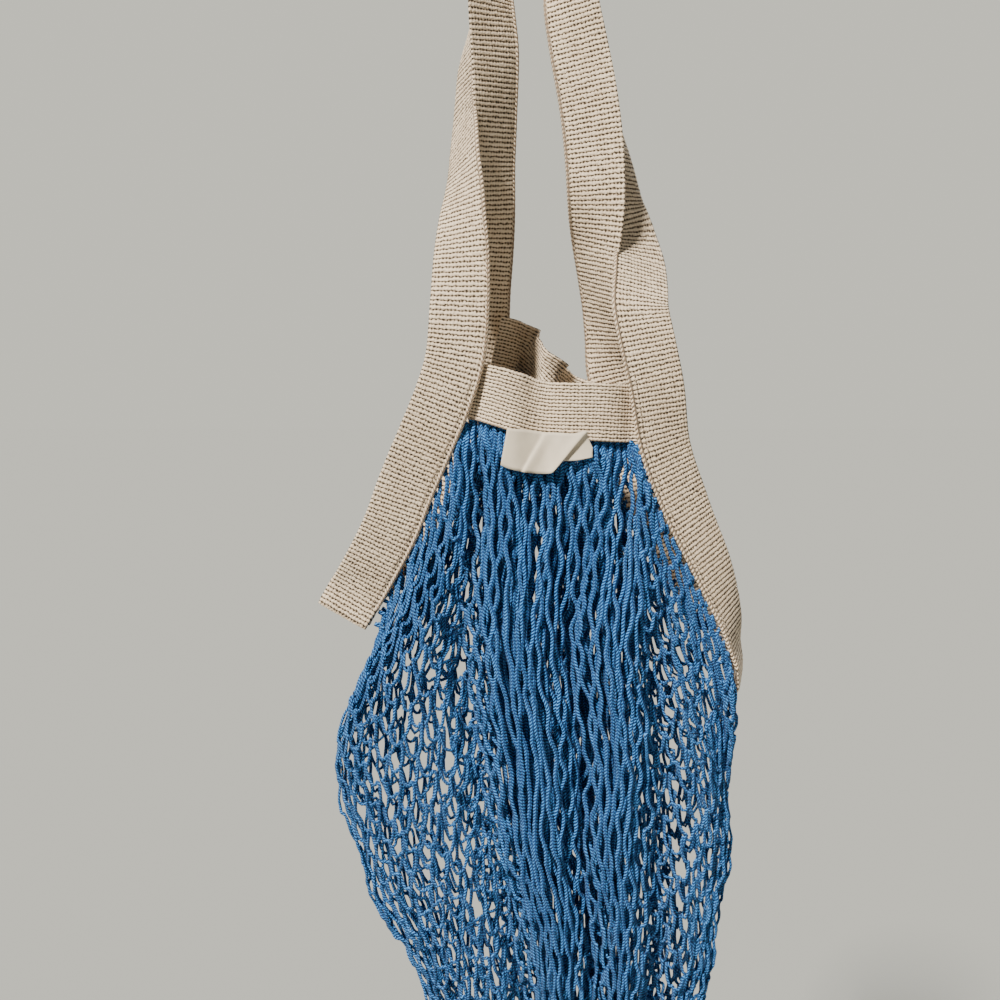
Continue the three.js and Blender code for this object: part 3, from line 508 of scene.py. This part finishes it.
class Tubes:
    """Collects closed tubes, each from rows of rings, into one mesh."""

    def __init__(self):
        self.vertices, self.faces, self.uvs, self.count = [], [], [], 0

    def add(self, centre, side, out, sides, along, start=0.0):
        """Side and out are the half axes at each ring, and along is the length in stitches."""
        rings = len(centre)
        angle = np.arange(sides) / sides * 2 * np.pi
        places = (centre[:, None] + side[:, None] * np.cos(angle)[None, :, None]
                  + out[:, None] * np.sin(angle)[None, :, None])
        self.vertices.append(places.reshape(-1, 3))
        n, k = np.meshgrid(np.arange(rings - 1), np.arange(sides), indexing="ij")
        n, k = n.ravel(), k.ravel()
        after = (k + 1) % sides
        first = self.count
        ring, above = n * sides, (n + 1) * sides
        quads = np.stack([ring + k, ring + after, above + after, above + k], axis=1)
        u0, u1, v0, v1 = k / sides, (k + 1) / sides, along[n] + start, along[n + 1] + start
        self.uvs.append(np.stack([u0, v0, u1, v0, u1, v1, u0, v1], axis=1).reshape(-1, 2))
        self.faces += (quads + first).tolist()
        last = first + (rings - 1) * sides
        self.faces += [list(range(first + sides - 1, first - 1, -1)), list(range(last, last + sides))]
        self.uvs.append(np.tile([[0.25, along[0] + start]], (sides, 1)))
        self.uvs.append(np.tile([[0.25, along[-1] + start]], (sides, 1)))
        self.count += rings * sides

    def piece(self, name, material):
        return add_mesh(name, np.vstack(self.vertices), self.faces, np.vstack(self.uvs), material)


class Tree:
    """Adds nodes to a material or a node group. An input is a number, a colour or another node's output."""

    def __init__(self, tree):
        self.tree = tree

    def feed(self, socket, value):
        """Links another node's output to a socket, or sets its value."""
        if isinstance(value, bpy.types.NodeSocket):
            self.tree.links.new(value, socket)
        else:
            socket.default_value = value

    def node(self, kind, inputs=None, **settings):
        made = self.tree.nodes.new(kind)
        for key, value in settings.items():
            setattr(made, key, value)
        for key, value in (inputs or {}).items():
            self.feed(made.inputs[key], value)
        return made

    def math(self, operation, *values, clamp=False):
        settings = dict(operation=operation, use_clamp=clamp)
        return self.node("ShaderNodeMath", dict(enumerate(values)), **settings).outputs[0]

    def noise(self, scale, detail, place, output="Fac"):
        inputs = {"Scale": scale, "Detail": detail, "Vector": place}
        return self.node("ShaderNodeTexNoise", inputs).outputs[output]

    def colour(self, factor, low, high):
        made = self.node("ShaderNodeMix", {0: factor}, data_type="RGBA")
        for key, value in ((6, low), (7, high)):
            self.feed(made.inputs[key], (*value, 1) if isinstance(value, tuple) else value)
        return made.outputs[2]


def new_group(name, takes, gives):
    """An empty node group with number inputs and outputs of these names."""
    group = bpy.data.node_groups.new(name, "ShaderNodeTree")
    for socket in takes:
        group.interface.new_socket(socket, in_out="INPUT", socket_type="NodeSocketFloat")
    for socket in gives:
        group.interface.new_socket(socket, in_out="OUTPUT", socket_type="NodeSocketFloat")
    return group


def yarn_group():
    """Fine fibre and slow shade of cotton yarn, for every cloth of the bag."""
    group = new_group("cotton_yarn", ["Fibre Scale", "Shade Scale"], ["Fibre", "Shade"])
    tree = Tree(group)
    given = tree.node("NodeGroupInput")
    place = tree.node("ShaderNodeTexCoord").outputs["Object"]
    fibre = tree.noise(given.outputs[0], 3.0, place)
    shade = tree.noise(given.outputs[1], 2.0, place)
    tree.node("NodeGroupOutput", {0: fibre, 1: shade})
    return group


def stitch_group():
    """V-shaped strokes of a knitted chain and its middle groove. Lean is a stroke's rise in stitches."""
    group = new_group("chain_stitch", ["Lean"], ["Stroke", "Groove"])
    tree = Tree(group)
    lean = tree.node("NodeGroupInput").outputs[0]
    about, along = parted(tree, weave_place(tree))
    across = tree.math("PINGPONG", tree.math("SUBTRACT", about, 0.25), 0.25)
    slant = tree.math("SUBTRACT", along, tree.math("MULTIPLY", across, lean))
    stroke = tree.math("SINE", tree.math("MULTIPLY", slant, 2 * math.pi))
    stroke = tree.math("ADD", tree.math("MULTIPLY", stroke, 0.5), 0.5)
    tree.node("NodeGroupOutput", {0: stroke, 1: tree.math("MULTIPLY", across, GROOVE_STEEPNESS, clamp=True)})
    return group


def weave_place(tree):
    """Places on the cloth: columns or turns across it, ribs or stitches along it."""
    return tree.node("ShaderNodeUVMap", uv_map="weave").outputs["UV"]


def parted(tree, place):
    """The first two coordinates of a place."""
    parts = tree.node("ShaderNodeSeparateXYZ", {0: place})
    return parts.outputs[0], parts.outputs[1]


GROOVE_STEEPNESS = 14.0
YARN = yarn_group()
STITCH = stitch_group()


def cloth_material(name, roughness, sheen, build):
    """A cloth finish. Build gives the colour and the height of its relief in millimetres."""
    material = bpy.data.materials.new(name)
    material.use_nodes = True
    tree = Tree(material.node_tree)
    shader = material.node_tree.nodes["Principled BSDF"]
    shader.inputs["Roughness"].default_value = roughness
    shader.inputs["Specular IOR Level"].default_value = CLOTH_SPECULAR
    shader.inputs["Sheen Weight"].default_value = sheen
    shader.inputs["Sheen Roughness"].default_value = SHEEN_ROUGHNESS
    colour, height = build(tree)
    bump = tree.node("ShaderNodeBump", {"Height": height, "Distance": MILLIMETRE, "Strength": 1.0})
    material.node_tree.links.new(colour, shader.inputs["Base Color"])
    material.node_tree.links.new(bump.outputs["Normal"], shader.inputs["Normal"])
    return material


def yarn(tree, fibre_scale, shade_scale):
    scales = {"Fibre Scale": fibre_scale, "Shade Scale": shade_scale}
    made = tree.node("ShaderNodeGroup", scales, node_tree=YARN)
    return made.outputs["Fibre"], made.outputs["Shade"]


def stitches(tree, lean):
    made = tree.node("ShaderNodeGroup", {"Lean": lean}, node_tree=STITCH)
    return made.outputs["Stroke"], made.outputs["Groove"]


def stitch_height(tree, stroke, groove, fibre, heights):
    stitch = tree.math("MULTIPLY", tree.math("MULTIPLY", stroke, groove), heights["stitch"])
    return tree.math("ADD", stitch, tree.math("MULTIPLY", fibre, heights["fibre"]))


CLOTH_SPECULAR = 0.15
SHEEN_ROUGHNESS = 0.5

# The cloths' colours. A pair is the yarn's own dark and light.
WEBBING_YARN = (0.50, 0.37, 0.245), (0.95, 0.80, 0.60)
# Painted shade: the valley colour darkens the webbing between its ribs, and the hole colour darkens the gaps
# between its columns.
WEBBING_VALLEY_SHADE = (0.27, 0.19, 0.12)
WEBBING_HOLE_SHADE = (0.05, 0.034, 0.02)
KNIT_YARN = (0.035, 0.21, 0.56), (0.10, 0.37, 0.80)
# Painted shade: the groove colour darkens the chains between their stitches and down their middle.
KNIT_GROOVE_SHADE = (0.003, 0.02, 0.09)
LABEL_YARN = (0.42, 0.36, 0.275), (0.56, 0.49, 0.385)
THREAD_YARN = (0.60, 0.47, 0.33), (0.95, 0.80, 0.60)
# Painted shade: the groove colour darkens the thread between its stitches and down its middle.
THREAD_GROOVE_SHADE = (0.22, 0.15, 0.095)

# The scales of each cloth's fibre and shade, a stitch's rise, and the heights of the relief in millimetres.
WEBBING_SCALES = (1400.0, 60.0)
KNIT_SCALES = (1600.0, 45.0)
LABEL_SCALES = (2600.0, 90.0)
THREAD_SCALES = (1800.0, 120.0)
KNIT_LEAN = 3.2
THREAD_LEAN = 2.4
WEBBING_HEIGHTS = dict(rib=0.7, column=0.25, fibre=0.3, grain=0.35)
KNIT_HEIGHTS = dict(stitch=0.75, fibre=0.25)
LABEL_HEIGHTS = dict(fibre=0.08, shade=0.25)
THREAD_HEIGHTS = dict(stitch=0.8, fibre=0.2)

# The webbing's ribs, columns and holes, with painted shade in the valleys and the holes. A roundness is a
# power of the rise, and the shape of a hole's painted shade has two.
RIB_ROUNDNESS = 0.6
COLUMN_ROUNDNESS = 0.5
VALLEY_SHADE_STRENGTH = 0.85
HOLE_SHADE_SHAPE = (1.3, 0.6)
HOLE_SHADE_STRENGTH = 3.4
GRAIN_MIDDLE = 0.72
GRAIN_STRENGTH = 1.5

# The contrast of the painted shade between the chains' strokes, and what the painted shade down the middle
# groove takes from a stroke and leaves of it.
KNIT_CONTRAST = 1.3
KNIT_MIDDLE_SHADE = (0.6, 0.4)

# The weave's own unevenness: how far the yarns wander, in columns and in ribs, and their grain.
WEAVE_SLIP = (1.2, 0.7)
SLIP_SCALE = 420.0
GRAIN_SCALE = (1.4, 2.2, 1.0)


def webbing_looks(tree):
    """Pale ribs with painted shade in the valleys between them and in dark holes between their columns,
    uneven from yarn to yarn.
    """
    fibre, shade = yarn(tree, *WEBBING_SCALES)
    heights = WEBBING_HEIGHTS
    uv = weave_place(tree)
    place = tree.node("ShaderNodeTexCoord").outputs["Object"]
    slips = parted(tree, tree.noise(SLIP_SCALE, 2.0, place, "Color"))
    rise = []
    for way, slip, size in zip(parted(tree, uv), slips, WEAVE_SLIP):
        slip = tree.math("MULTIPLY", tree.math("SUBTRACT", slip, 0.5), size)
        half_turn = tree.math("MULTIPLY", tree.math("ADD", way, slip), math.pi)
        rise.append(tree.math("ABSOLUTE", tree.math("SINE", half_turn)))
    gap, valley = (tree.math("SUBTRACT", 1.0, value) for value in rise)
    grain_place = tree.node("ShaderNodeMapping", {"Vector": uv, "Scale": GRAIN_SCALE}).outputs[0]
    grain = tree.noise(1.0, 1.0, grain_place)
    rib = tree.math("MULTIPLY", tree.math("POWER", rise[1], RIB_ROUNDNESS), heights["rib"])
    column = tree.math("MULTIPLY", tree.math("POWER", rise[0], COLUMN_ROUNDNESS), heights["column"])
    height = tree.math("ADD", rib, column)
    height = tree.math("ADD", height, tree.math("MULTIPLY", fibre, heights["fibre"]))
    height = tree.math("ADD", height, tree.math("MULTIPLY", grain, heights["grain"]))
    # Painted shade: the holes between the columns go nearly black, more or less with the grain.
    hole_shade = [tree.math("POWER", value, power) for value, power in zip((valley, gap), HOLE_SHADE_SHAPE)]
    uneven = tree.math("MULTIPLY", tree.math("SUBTRACT", grain, GRAIN_MIDDLE), GRAIN_STRENGTH)
    hole_shade = tree.math("MULTIPLY", tree.math("MULTIPLY", *hole_shade), HOLE_SHADE_STRENGTH)
    hole_shade = tree.math("ADD", hole_shade, uneven, clamp=True)
    tone = tree.math("ADD", tree.math("MULTIPLY", shade, 0.5), tree.math("MULTIPLY", fibre, 0.5))
    body = tree.colour(tone, *WEBBING_YARN)
    # Painted shade: the valleys between the ribs go darker.
    body = tree.colour(tree.math("MULTIPLY", valley, VALLEY_SHADE_STRENGTH, clamp=True), body, WEBBING_VALLEY_SHADE)
    return tree.colour(hole_shade, body, WEBBING_HOLE_SHADE), height


def knit_looks(tree):
    """Blue strokes with painted shade between the stitches and down the middle of the chain."""
    fibre, shade = yarn(tree, *KNIT_SCALES)
    stroke, groove = stitches(tree, KNIT_LEAN)
    height = stitch_height(tree, stroke, groove, fibre, KNIT_HEIGHTS)
    # Painted shade: the tone falls between the strokes and down the middle groove, and the colour goes dark
    # there.
    taken, left = KNIT_MIDDLE_SHADE
    middle = tree.math("ADD", tree.math("MULTIPLY", groove, taken), left)
    tone = tree.math("MULTIPLY", tree.math("POWER", stroke, KNIT_CONTRAST), middle)
    return tree.colour(tone, KNIT_GROOVE_SHADE, tree.colour(shade, *KNIT_YARN)), height


def label_looks(tree):
    """Plain off-white tape."""
    fibre, shade = yarn(tree, *LABEL_SCALES)
    fibre_height = tree.math("MULTIPLY", fibre, LABEL_HEIGHTS["fibre"])
    height = tree.math("ADD", fibre_height, tree.math("MULTIPLY", shade, LABEL_HEIGHTS["shade"]))
    return tree.colour(shade, *LABEL_YARN), height


def thread_looks(tree):
    """Cream cotton thread, plaited, with painted shade between its stitches and down its middle groove."""
    fibre, shade = yarn(tree, *THREAD_SCALES)
    stroke, groove = stitches(tree, THREAD_LEAN)
    height = stitch_height(tree, stroke, groove, fibre, THREAD_HEIGHTS)
    light = tree.colour(shade, *THREAD_YARN)
    # Painted shade: the colour goes dark between the strokes and down the middle groove.
    return tree.colour(tree.math("MULTIPLY", stroke, groove), THREAD_GROOVE_SHADE, light), height


# Each cloth's roughness and sheen.
WEBBING = cloth_material("natural_webbing", 0.94, 0.05, webbing_looks)
KNIT = cloth_material("blue_knitted_cotton", 0.92, 0.04, knit_looks)
LABEL = cloth_material("label_cloth", 0.75, 0.05, label_looks)
THREAD = cloth_material("cream_thread", 0.85, 0.1, thread_looks)


def closed_sheet(skins):
    """The places and faces of a closed sheet from the grids of its two skins."""
    rows, columns = skins[0].shape[:2]
    count = rows * columns
    index = np.arange(count).reshape(rows, columns)
    corner = [index[:-1, :-1], index[:-1, 1:], index[1:, 1:], index[1:, :-1]]
    corner = np.stack(corner, axis=-1).reshape(-1, 4)
    faces = [corner, (corner + count)[:, ::-1]]
    for line in (index[0], index[:, -1], index[-1, ::-1], index[::-1, 0]):
        faces.append(np.stack([line[:-1], line[:-1] + count, line[1:] + count, line[1:]], axis=1))
    return np.vstack([skin.reshape(-1, 3) for skin in skins]), np.vstack(faces)


def webbing_piece(name, strip, seed, ribs_along=False):
    """Woven webbing with its ribs, columns and bound edges as relief. A band's ribs run along it."""
    own = np.random.default_rng(seed)
    rows, columns = len(strip.centre), 2 * COLUMNS_ACROSS
    share = np.linspace(-1, 1, columns + 1)
    row, column = np.arange(rows)[:, None], np.arange(columns + 1)[None, :]
    wander = soften(own.normal(size=(rows, 2)), 9, 3) * EDGE_WANDER
    wander = np.where(share < 0, wander[:, :1], wander[:, 1:])
    side = share * WEBBING_WIDTH / 2 + wander * np.abs(share) ** 3
    rib, gap = (column % 2 == 1, row % 2 == 1) if ribs_along else (row % 2 == 0, column % 2 == 0)
    crest = np.where(rib, *RIB_CREST) + np.where(gap, np.where(rib, *GAP_DIP), COLUMN_LIFT)
    edge = 1 - np.abs(share) ** 8
    relief = RELIEF * crest * edge + own.normal(scale=WEAVE_UNEVEN, size=(rows, columns + 1))
    half = (WEBBING_THICKNESS / 2 - RELIEF) * mix(EDGE_THICKNESS, 1, edge) + relief
    places, faces = closed_sheet([strip.place(row, side, way * half) for way in (1, -1)])
    u, v = np.broadcast_arrays(column / 2, (row + 1) / 2)
    uv_of = np.stack([v.ravel(), u.ravel()] if ribs_along else [u.ravel(), v.ravel()], axis=1)
    return add_mesh(name, places, faces.tolist(), uv_of[faces.ravel() % u.size], WEBBING)


def net_slack(turn, down):
    """0 where the net is drawn straight by its weight and 1 where it hangs slack, at the sides."""
    side = net_side(turn)
    edge = np.maximum(ease(*SLACK_LEFT, side), ease(*SLACK_RIGHT, side))
    slack = edge * ease(*SIDE_SLACK_DOWN, down) + LOWER_SLACK * ease(*LOWER_SLACK_DOWN, down)
    return np.clip(slack, 0, 1)


def chain_rings(turn, inset, per_row):
    """The rings of one chain, counted in rows of joins from the top, and the share down at each."""
    down = np.linspace(0, NET_END, FALL_SAMPLES)
    turn = np.full(down.shape, turn)
    row = down * NET_ROWS + inset / INSET_OF_ROW
    row = row + ROW_UNEVEN * wave(turn, row, ROW_WANDER)
    row = np.maximum.accumulate(row + down * 1e-6)
    rings = np.arange(math.ceil(row[0] * per_row), math.floor(row[-1] * per_row)) / per_row
    rings = np.concatenate([[row[0]], rings[rings > row[0] + FIRST_RING_GAP], [row[-1]]])
    return rings, np.interp(rings, row, down)


def hang_chain(turn, rings, at, way, inset, own):
    """One chain as it hangs: its middle line, the way its outer side looks, and how slack it is."""
    turn = np.full(at.shape, turn)
    _, pitch = net_out(turn, at)
    slack = net_slack(turn, at)
    sharp = mix(*BEND_SHARPNESS, slack)
    sway = way * np.tanh(sharp * np.sin(np.pi * rings)) / np.tanh(sharp)
    room = np.maximum(0, 0.5 - 0.5 * mix(*JOINED_PITCH, slack) / pitch)
    uneven = 1 + SWAY_UNEVEN * soften(own.normal(size=(len(at), 1)), 3, 2)[:, 0]
    open_in = ease(*OPEN_IN, at)
    clump = CLUMPING * wave(turn, rings, CLUMPS) * (1 - CLUMP_LOSS * slack) * ease(*CLUMP_IN, at)
    moved = turn + (sway * room * uneven * open_in + clump) / CHAINS
    centre = net_place(moved, at)
    out, _ = net_out(moved, at)
    wobble = soften(own.normal(size=(len(at), 3)), 3, 2) * WOBBLE * (1 + slack[:, None])
    crowded = np.clip(CROWD_START - pitch / CROWDED_PITCH, 0, 1)
    depth = wave(moved, rings, DEPTH_WANDER) * DEPTH_UNEVEN + way * CROWD_STEP * crowded
    depth = depth - inset * ease(*INSET_IN, at) * (1 - ease(*INSET_OUT, at))
    behind = WEBBING_THICKNESS / 2 + CHAIN_DEPTH / 2 + HEM_GAP + (FOLD_BEHIND if inset else 0)
    tucked = 1 - ease(0, TUCK_LENGTH, np.linalg.norm(centre - centre[0], axis=1))
    face = rim_at(turn, 4)
    centre = centre + out * (depth * (1 - tucked))[:, None] - face * (behind * tucked)[:, None]
    centre = centre + wobble * (1 - tucked)[:, None]
    sag = mix(*SAG, slack) * pitch * (1 - sway**2) * open_in * (1 - net_side(turn) ** 8)
    centre[:, 2] -= np.minimum(sag, MOST_SAG)
    hem = HEM_TUCK[-1 if turn[0] < 0.5 else 1]
    start = centre[0] - rim_at(turn[:1], 7)[0] * hem * TUCK_SHARES
    return np.vstack([start, centre]), np.vstack([np.tile(face[:1], (len(start), 1)), out]), slack


def net_panel(name, chains, inset=0.0):
    """A panel of the net: knitted chains that join their neighbours on either side in turn."""
    tubes = Tubes()
    per_row, sides = (FOLD_RINGS_PER_ROW, FOLD_CHAIN_SIDES) if inset else (RINGS_PER_ROW, CHAIN_SIDES)
    for chain in chains:
        turn, number = (chain + 0.5) / CHAINS, math.floor(chain)
        own = np.random.default_rng([round(inset), number])
        rings, at = chain_rings(turn, inset, per_row)
        centre, out, slack = hang_chain(turn, rings, at, 1 if number % 2 == 0 else -1, inset, own)
        along = unit(np.gradient(centre, axis=0))
        side = unit(np.cross(along, out))
        out = np.cross(side, along)
        twist = TWIST * soften(own.normal(size=(len(centre), 1)), 6, 3)
        turned_side = side * np.cos(twist) + out * np.sin(twist)
        turned_out = out * np.cos(twist) - side * np.sin(twist)
        lumps = 1 + LUMPS * own.normal(size=(len(centre), 1))
        thin = (1 - END_THINNING * ease(*THIN_END, at)) * (1 - SLACK_THINNING * slack)
        slim = np.concatenate([np.ones(len(TUCK_SHARES)), thin])[:, None]
        tubes.add(centre, turned_side * lumps * slim * CHAIN_WIDTH / 2,
                  turned_out * lumps * slim * CHAIN_DEPTH / 2,
                  sides, run_along(centre) / STITCH_LENGTH, own.random())
    return tubes.piece(name, KNIT)


def gathered_bottom():
    """The gathered end of the net: pleats drawn together under the last rows."""
    rings, sides = GATHER_RINGS, 2 * CHAINS
    turn = np.tile(np.arange(sides) / sides, (rings, 1))
    down = np.tile(mix(NET_END - GATHER_OVERLAP, 1.0, np.linspace(0, 1, rings))[:, None], (1, sides))
    place = net_place(turn, np.minimum(down, 0.998))
    out, _ = net_out(turn, np.minimum(down, 0.99))
    pleat = np.where(np.arange(sides) % 2 == 0, 1.0, -1.0)[None, :] * GATHER_PLEAT
    share = np.linspace(0, 1, rings)[:, None]
    place = place + out * (pleat * (1 - GATHER_FADE * share) - GATHER_INSET)[..., None]
    faces, uvs = [], []
    for n in range(rings - 1):
        for k in range(sides):
            after = (k + 1) % sides
            quad = [n * sides + k, n * sides + after, (n + 1) * sides + after, (n + 1) * sides + k]
            faces.append(quad[::-1])
            u, v = k / 4 % 1, n * GATHER_STITCHES
            uvs += [(u, v + GATHER_STITCHES), (u + 0.25, v + GATHER_STITCHES), (u + 0.25, v), (u, v)]
    faces.append([(rings - 1) * sides + k for k in range(sides)][::-1])
    uvs += [(0.1, rings * GATHER_STITCHES)] * sides
    return add_mesh("gathered_bottom", place.reshape(-1, 3), faces, uvs, KNIT)


def edge_threads():
    """The plaited selvedge down the inner edge of each handle and the pale cord below each band."""
    tubes = Tubes()
    for layer in (-1, 1):
        b, s = band[layer], strap[layer]
        below = np.flatnonzero((b.at >= CORD_BARE) & (b.at <= b.at[-1] - CORD_BARE))
        whole = np.flatnonzero((s.at >= leg_end[layer, -1]) & (s.at <= leg_end[layer, 1]))
        for strip, rows, (radius, inset, lift) in ((b, below, HEM_CORD), (s, whole, SELVEDGE)):
            offset = np.full(len(rows), -layer * (WEBBING_WIDTH / 2 - inset))
            size, turn = CORD_UNEVEN
            uneven = radius * (1 + size * np.sin(np.arange(len(rows)) * turn))[:, None]
            length = strip.distance[rows] - strip.distance[rows[0]]
            tubes.add(strip.place(rows, offset, np.full(len(rows), lift)), strip.across[rows] * uneven,
                      strip.face[rows] * uneven, CORD_SIDES, length / SELVEDGE_STITCH)
    return tubes.piece("edge_cords", THREAD)


def band_stitches():
    """Rows of stitches down the handles' inner edges, which hold the bands and the net under the webbing."""
    tubes = Tubes()
    for layer in (-1, 1):
        inner = -layer
        s = strap[layer]
        for side in (-1, 1):
            leg = leg_rows(layer, side)
            leg = leg[(s.centre[leg, 2] < -HANDLE_DROP + SEWN_ABOVE)]
            first, last = sorted((s.distance[leg[0]], s.distance[leg[-1]]))
            for start in np.arange(first, last - SEWN_ROOM, SEWN_STEP):
                along = SEWN_SHAPE[:, 0] + start
                rows = np.interp(along, s.distance, np.arange(len(s.distance)))
                near = np.round(rows).astype(int)
                centre = np.stack([np.interp(along, s.distance, c) for c in s.centre.T], axis=1)
                beside = s.across[near] * inner * (WEBBING_WIDTH / 2 - SEWN_INSET)
                centre = centre + beside + s.face[near] * SEWN_SHAPE[:, 1:2]
                size = SEWN_SHAPE[:, 2:] * SEWN_RADIUS
                tubes.add(centre, s.across[near] * size, s.face[near] * size, SEWN_SIDES, along / SEWN_PLAIT)
    return tubes.piece("sewn_stitches", THREAD)


LABEL_GRID = (60, 14)
LABEL_GAP = 0.9
LABEL_HALF_THICKNESS = 0.22
LABEL_CRUMPLE = 0.35
LABEL_RIPPLE = (0.42, 0.2)  # radians a millimetre, across and down
LABEL_WEAVE = 0.5
LABEL_LIFT = 1.4  # how much further the lower edge stands out
# The label's upper and lower line as x, z and how far it stands out, from its left end to the flap.
LABEL_LINES = [
    ((-14.5, -331.0, 0.2), (-18.5, -353.0, 0.9)),
    ((-6.0, -331.6, 0.0), (-14.0, -355.0, 0.6)),
    ((3.0, -332.6, -0.5), (-9.0, -356.4, 0.2)),
    ((8.0, -333.4, -0.7), (-6.0, -357.0, 0.2)),
    ((9.6, -333.5, 0.9), (-4.4, -357.3, 1.9)),
    ((17.0, -333.6, 0.1), (2.5, -358.3, 1.3)),
    ((25.5, -334.0, 0.6), (9.0, -358.4, 1.8)),
    ((32.6, -332.6, 2.9), (12.6, -357.6, 3.4)),
    ((33.6, -333.2, 2.4), (14.0, -356.2, 2.4)),
    ((33.8, -335.2, 0.7), (17.0, -351.4, 0.4)),
    ((35.4, -339.2, 0.3), (27.0, -350.3, 0.2)),
    ((37.0, -342.6, 0.6), (36.8, -348.4, 0.5)),
]


def label_piece():
    """The folded label, bare, with its diagonal fold and the flap behind it."""
    lines = np.array(LABEL_LINES)
    count, across = LABEL_GRID
    at = np.linspace(0, len(lines) - 1, count)
    upper, lower = smooth_line(lines[:, 0], at), smooth_line(lines[:, 1], at)
    share = np.linspace(0, 1, across)[None, :, None]
    flat = upper[:, None] * (1 - share) + lower[:, None] * share
    x, z, stand_out = flat[..., 0], flat[..., 1], flat[..., 2]
    b = band[-1]
    lip = np.interp(x, b.centre[:, 0], b.centre[:, 1]) - WEBBING_THICKNESS / 2 - LABEL_GAP
    ripple = np.sin(x * LABEL_RIPPLE[0] + z * LABEL_RIPPLE[1])
    crumple = LABEL_CRUMPLE * ripple * np.sin(np.pi * share[..., 0])
    middle = np.stack([x, lip - stand_out - crumple - LABEL_LIFT * share[..., 0] ** 2, z], axis=-1)
    normal = unit(np.cross(np.gradient(middle, axis=1), np.gradient(middle, axis=0)))
    places, faces = closed_sheet([middle + normal * way * LABEL_HALF_THICKNESS for way in (1, -1)])
    uvs = places[faces.ravel()][:, [0, 2]] * LABEL_WEAVE
    return add_mesh("folded_label", places, faces.tolist(), uvs, LABEL)


def settle(piece, slot, *nodes):
    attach(piece, "root")
    if nodes:
        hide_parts(*nodes)
    return piece


def hang_net(name, chains, inset=0.0):
    panel = settle(net_panel(name, chains, inset), "blue_cotton", "net_body")


for name, strip, node, seed in (
        ("front_handle_webbing", strap[-1], "strap_front", 11),
        ("back_handle_webbing", strap[1], "strap_back", 12),
        ("front_mouth_band", band[-1], "band_front", 13),
        ("back_mouth_band", band[1], "band_back", 14)):
    piece = settle(webbing_piece(name, strip, seed, "band" in name), "webbing", node)

PANELS = ["front_left", "front_middle", "front_right", "back_right", "back_middle", "back_left"]
per_panel = CHAINS // len(PANELS)
for n, place in enumerate(PANELS):
    hang_net("net_" + place, range(n * per_panel, (n + 1) * per_panel))
for n, inset in enumerate(PLEAT_INSETS):
    for place, first, last in FOLD_SPANS[n]:
        folds_in = np.arange(round(first * CHAINS), round(last * CHAINS)) + 0.5 * (n + 1)
        hang_net("net_%s_fold_%d" % (place, n + 1), folds_in, inset)
settle(gathered_bottom(), "blue_cotton", "net_body")
settle(edge_threads(), "webbing")
settle(band_stitches(), "webbing")
label = settle(label_piece(), "label_cloth", "label")


def add_sun(name, power, disc, colour, tilt, turn):
    """A sun lamp. The size of its disc, its tilt and its turn are in degrees."""
    sun = bpy.data.lights.new(name, "SUN")
    sun.energy, sun.angle, sun.color = power, math.radians(disc), colour
    lamp = bpy.data.objects.new(name, sun)
    lamp.rotation_euler = (math.radians(tilt), 0, math.radians(turn))
    bpy.context.scene.collection.objects.link(lamp)


add_sun("key_light", 10.5, 8, (1.0, 0.955, 0.88), 45, -33)
add_sun("fill_light", 4.0, 30, (0.95, 0.97, 1.0), -52, -25)

# The backdrop is pale, and the light that it gives is softer than it looks.
BACKDROP_COLOUR = (0.77, 0.755, 0.66, 1)
AMBIENT_COLOUR = (0.92, 0.96, 1.0, 1)
AMBIENT_STRENGTH = 0.14
world = bpy.data.worlds.new("studio")
world.use_nodes = True
studio = Tree(world.node_tree)
backdrop = studio.node("ShaderNodeBackground", {"Color": BACKDROP_COLOUR, "Strength": 1.0})
ambient = studio.node("ShaderNodeBackground", {"Color": AMBIENT_COLOUR, "Strength": AMBIENT_STRENGTH})
seen = studio.node("ShaderNodeLightPath").outputs["Is Camera Ray"]
shown = studio.node("ShaderNodeMixShader", {0: seen, 1: ambient.outputs[0], 2: backdrop.outputs[0]})
world.node_tree.links.new(shown.outputs[0], world.node_tree.nodes["World Output"].inputs["Surface"])
bpy.context.scene.world = world

# The floor's colour is the one that looks like the backdrop under these lights.
FLOOR_HEIGHT = -1.25
FLOOR_REACH = 40.0
FLOOR_LOOKS = {"Base Color": (0.235, 0.2365, 0.217, 1), "Specular IOR Level": 0.0, "Roughness": 0.95}
floor_mesh = bpy.data.meshes.new("floor")
floor_ends = ((-1, -1), (1, -1), (1, 1), (-1, 1))
floor_corners = [(x * FLOOR_REACH, y * FLOOR_REACH, FLOOR_HEIGHT) for x, y in floor_ends]
floor_mesh.from_pydata(floor_corners, [], [(0, 1, 2, 3)])
floor = bpy.data.objects.new("floor", floor_mesh)
bpy.context.scene.collection.objects.link(floor)
paint = bpy.data.materials.new("pale_floor")
paint.use_nodes = True
for socket, value in FLOOR_LOOKS.items():
    paint.node_tree.nodes["Principled BSDF"].inputs[socket].default_value = value
floor_mesh.materials.append(paint)

CAMERA_PLACE = (-0.01879, -0.69734, -0.31623)
CAMERA_TILT = 85
CAMERA_LENS = 39.62
camera_data = bpy.data.cameras.new("camera")
camera_data.lens = CAMERA_LENS
camera_data.sensor_width = 36.0
camera = bpy.data.objects.new("camera", camera_data)
camera.location = CAMERA_PLACE
camera.rotation_euler = (math.radians(CAMERA_TILT), 0, 0)
bpy.context.scene.collection.objects.link(camera)
bpy.context.scene.camera = camera

bpy.context.view_layer.update()
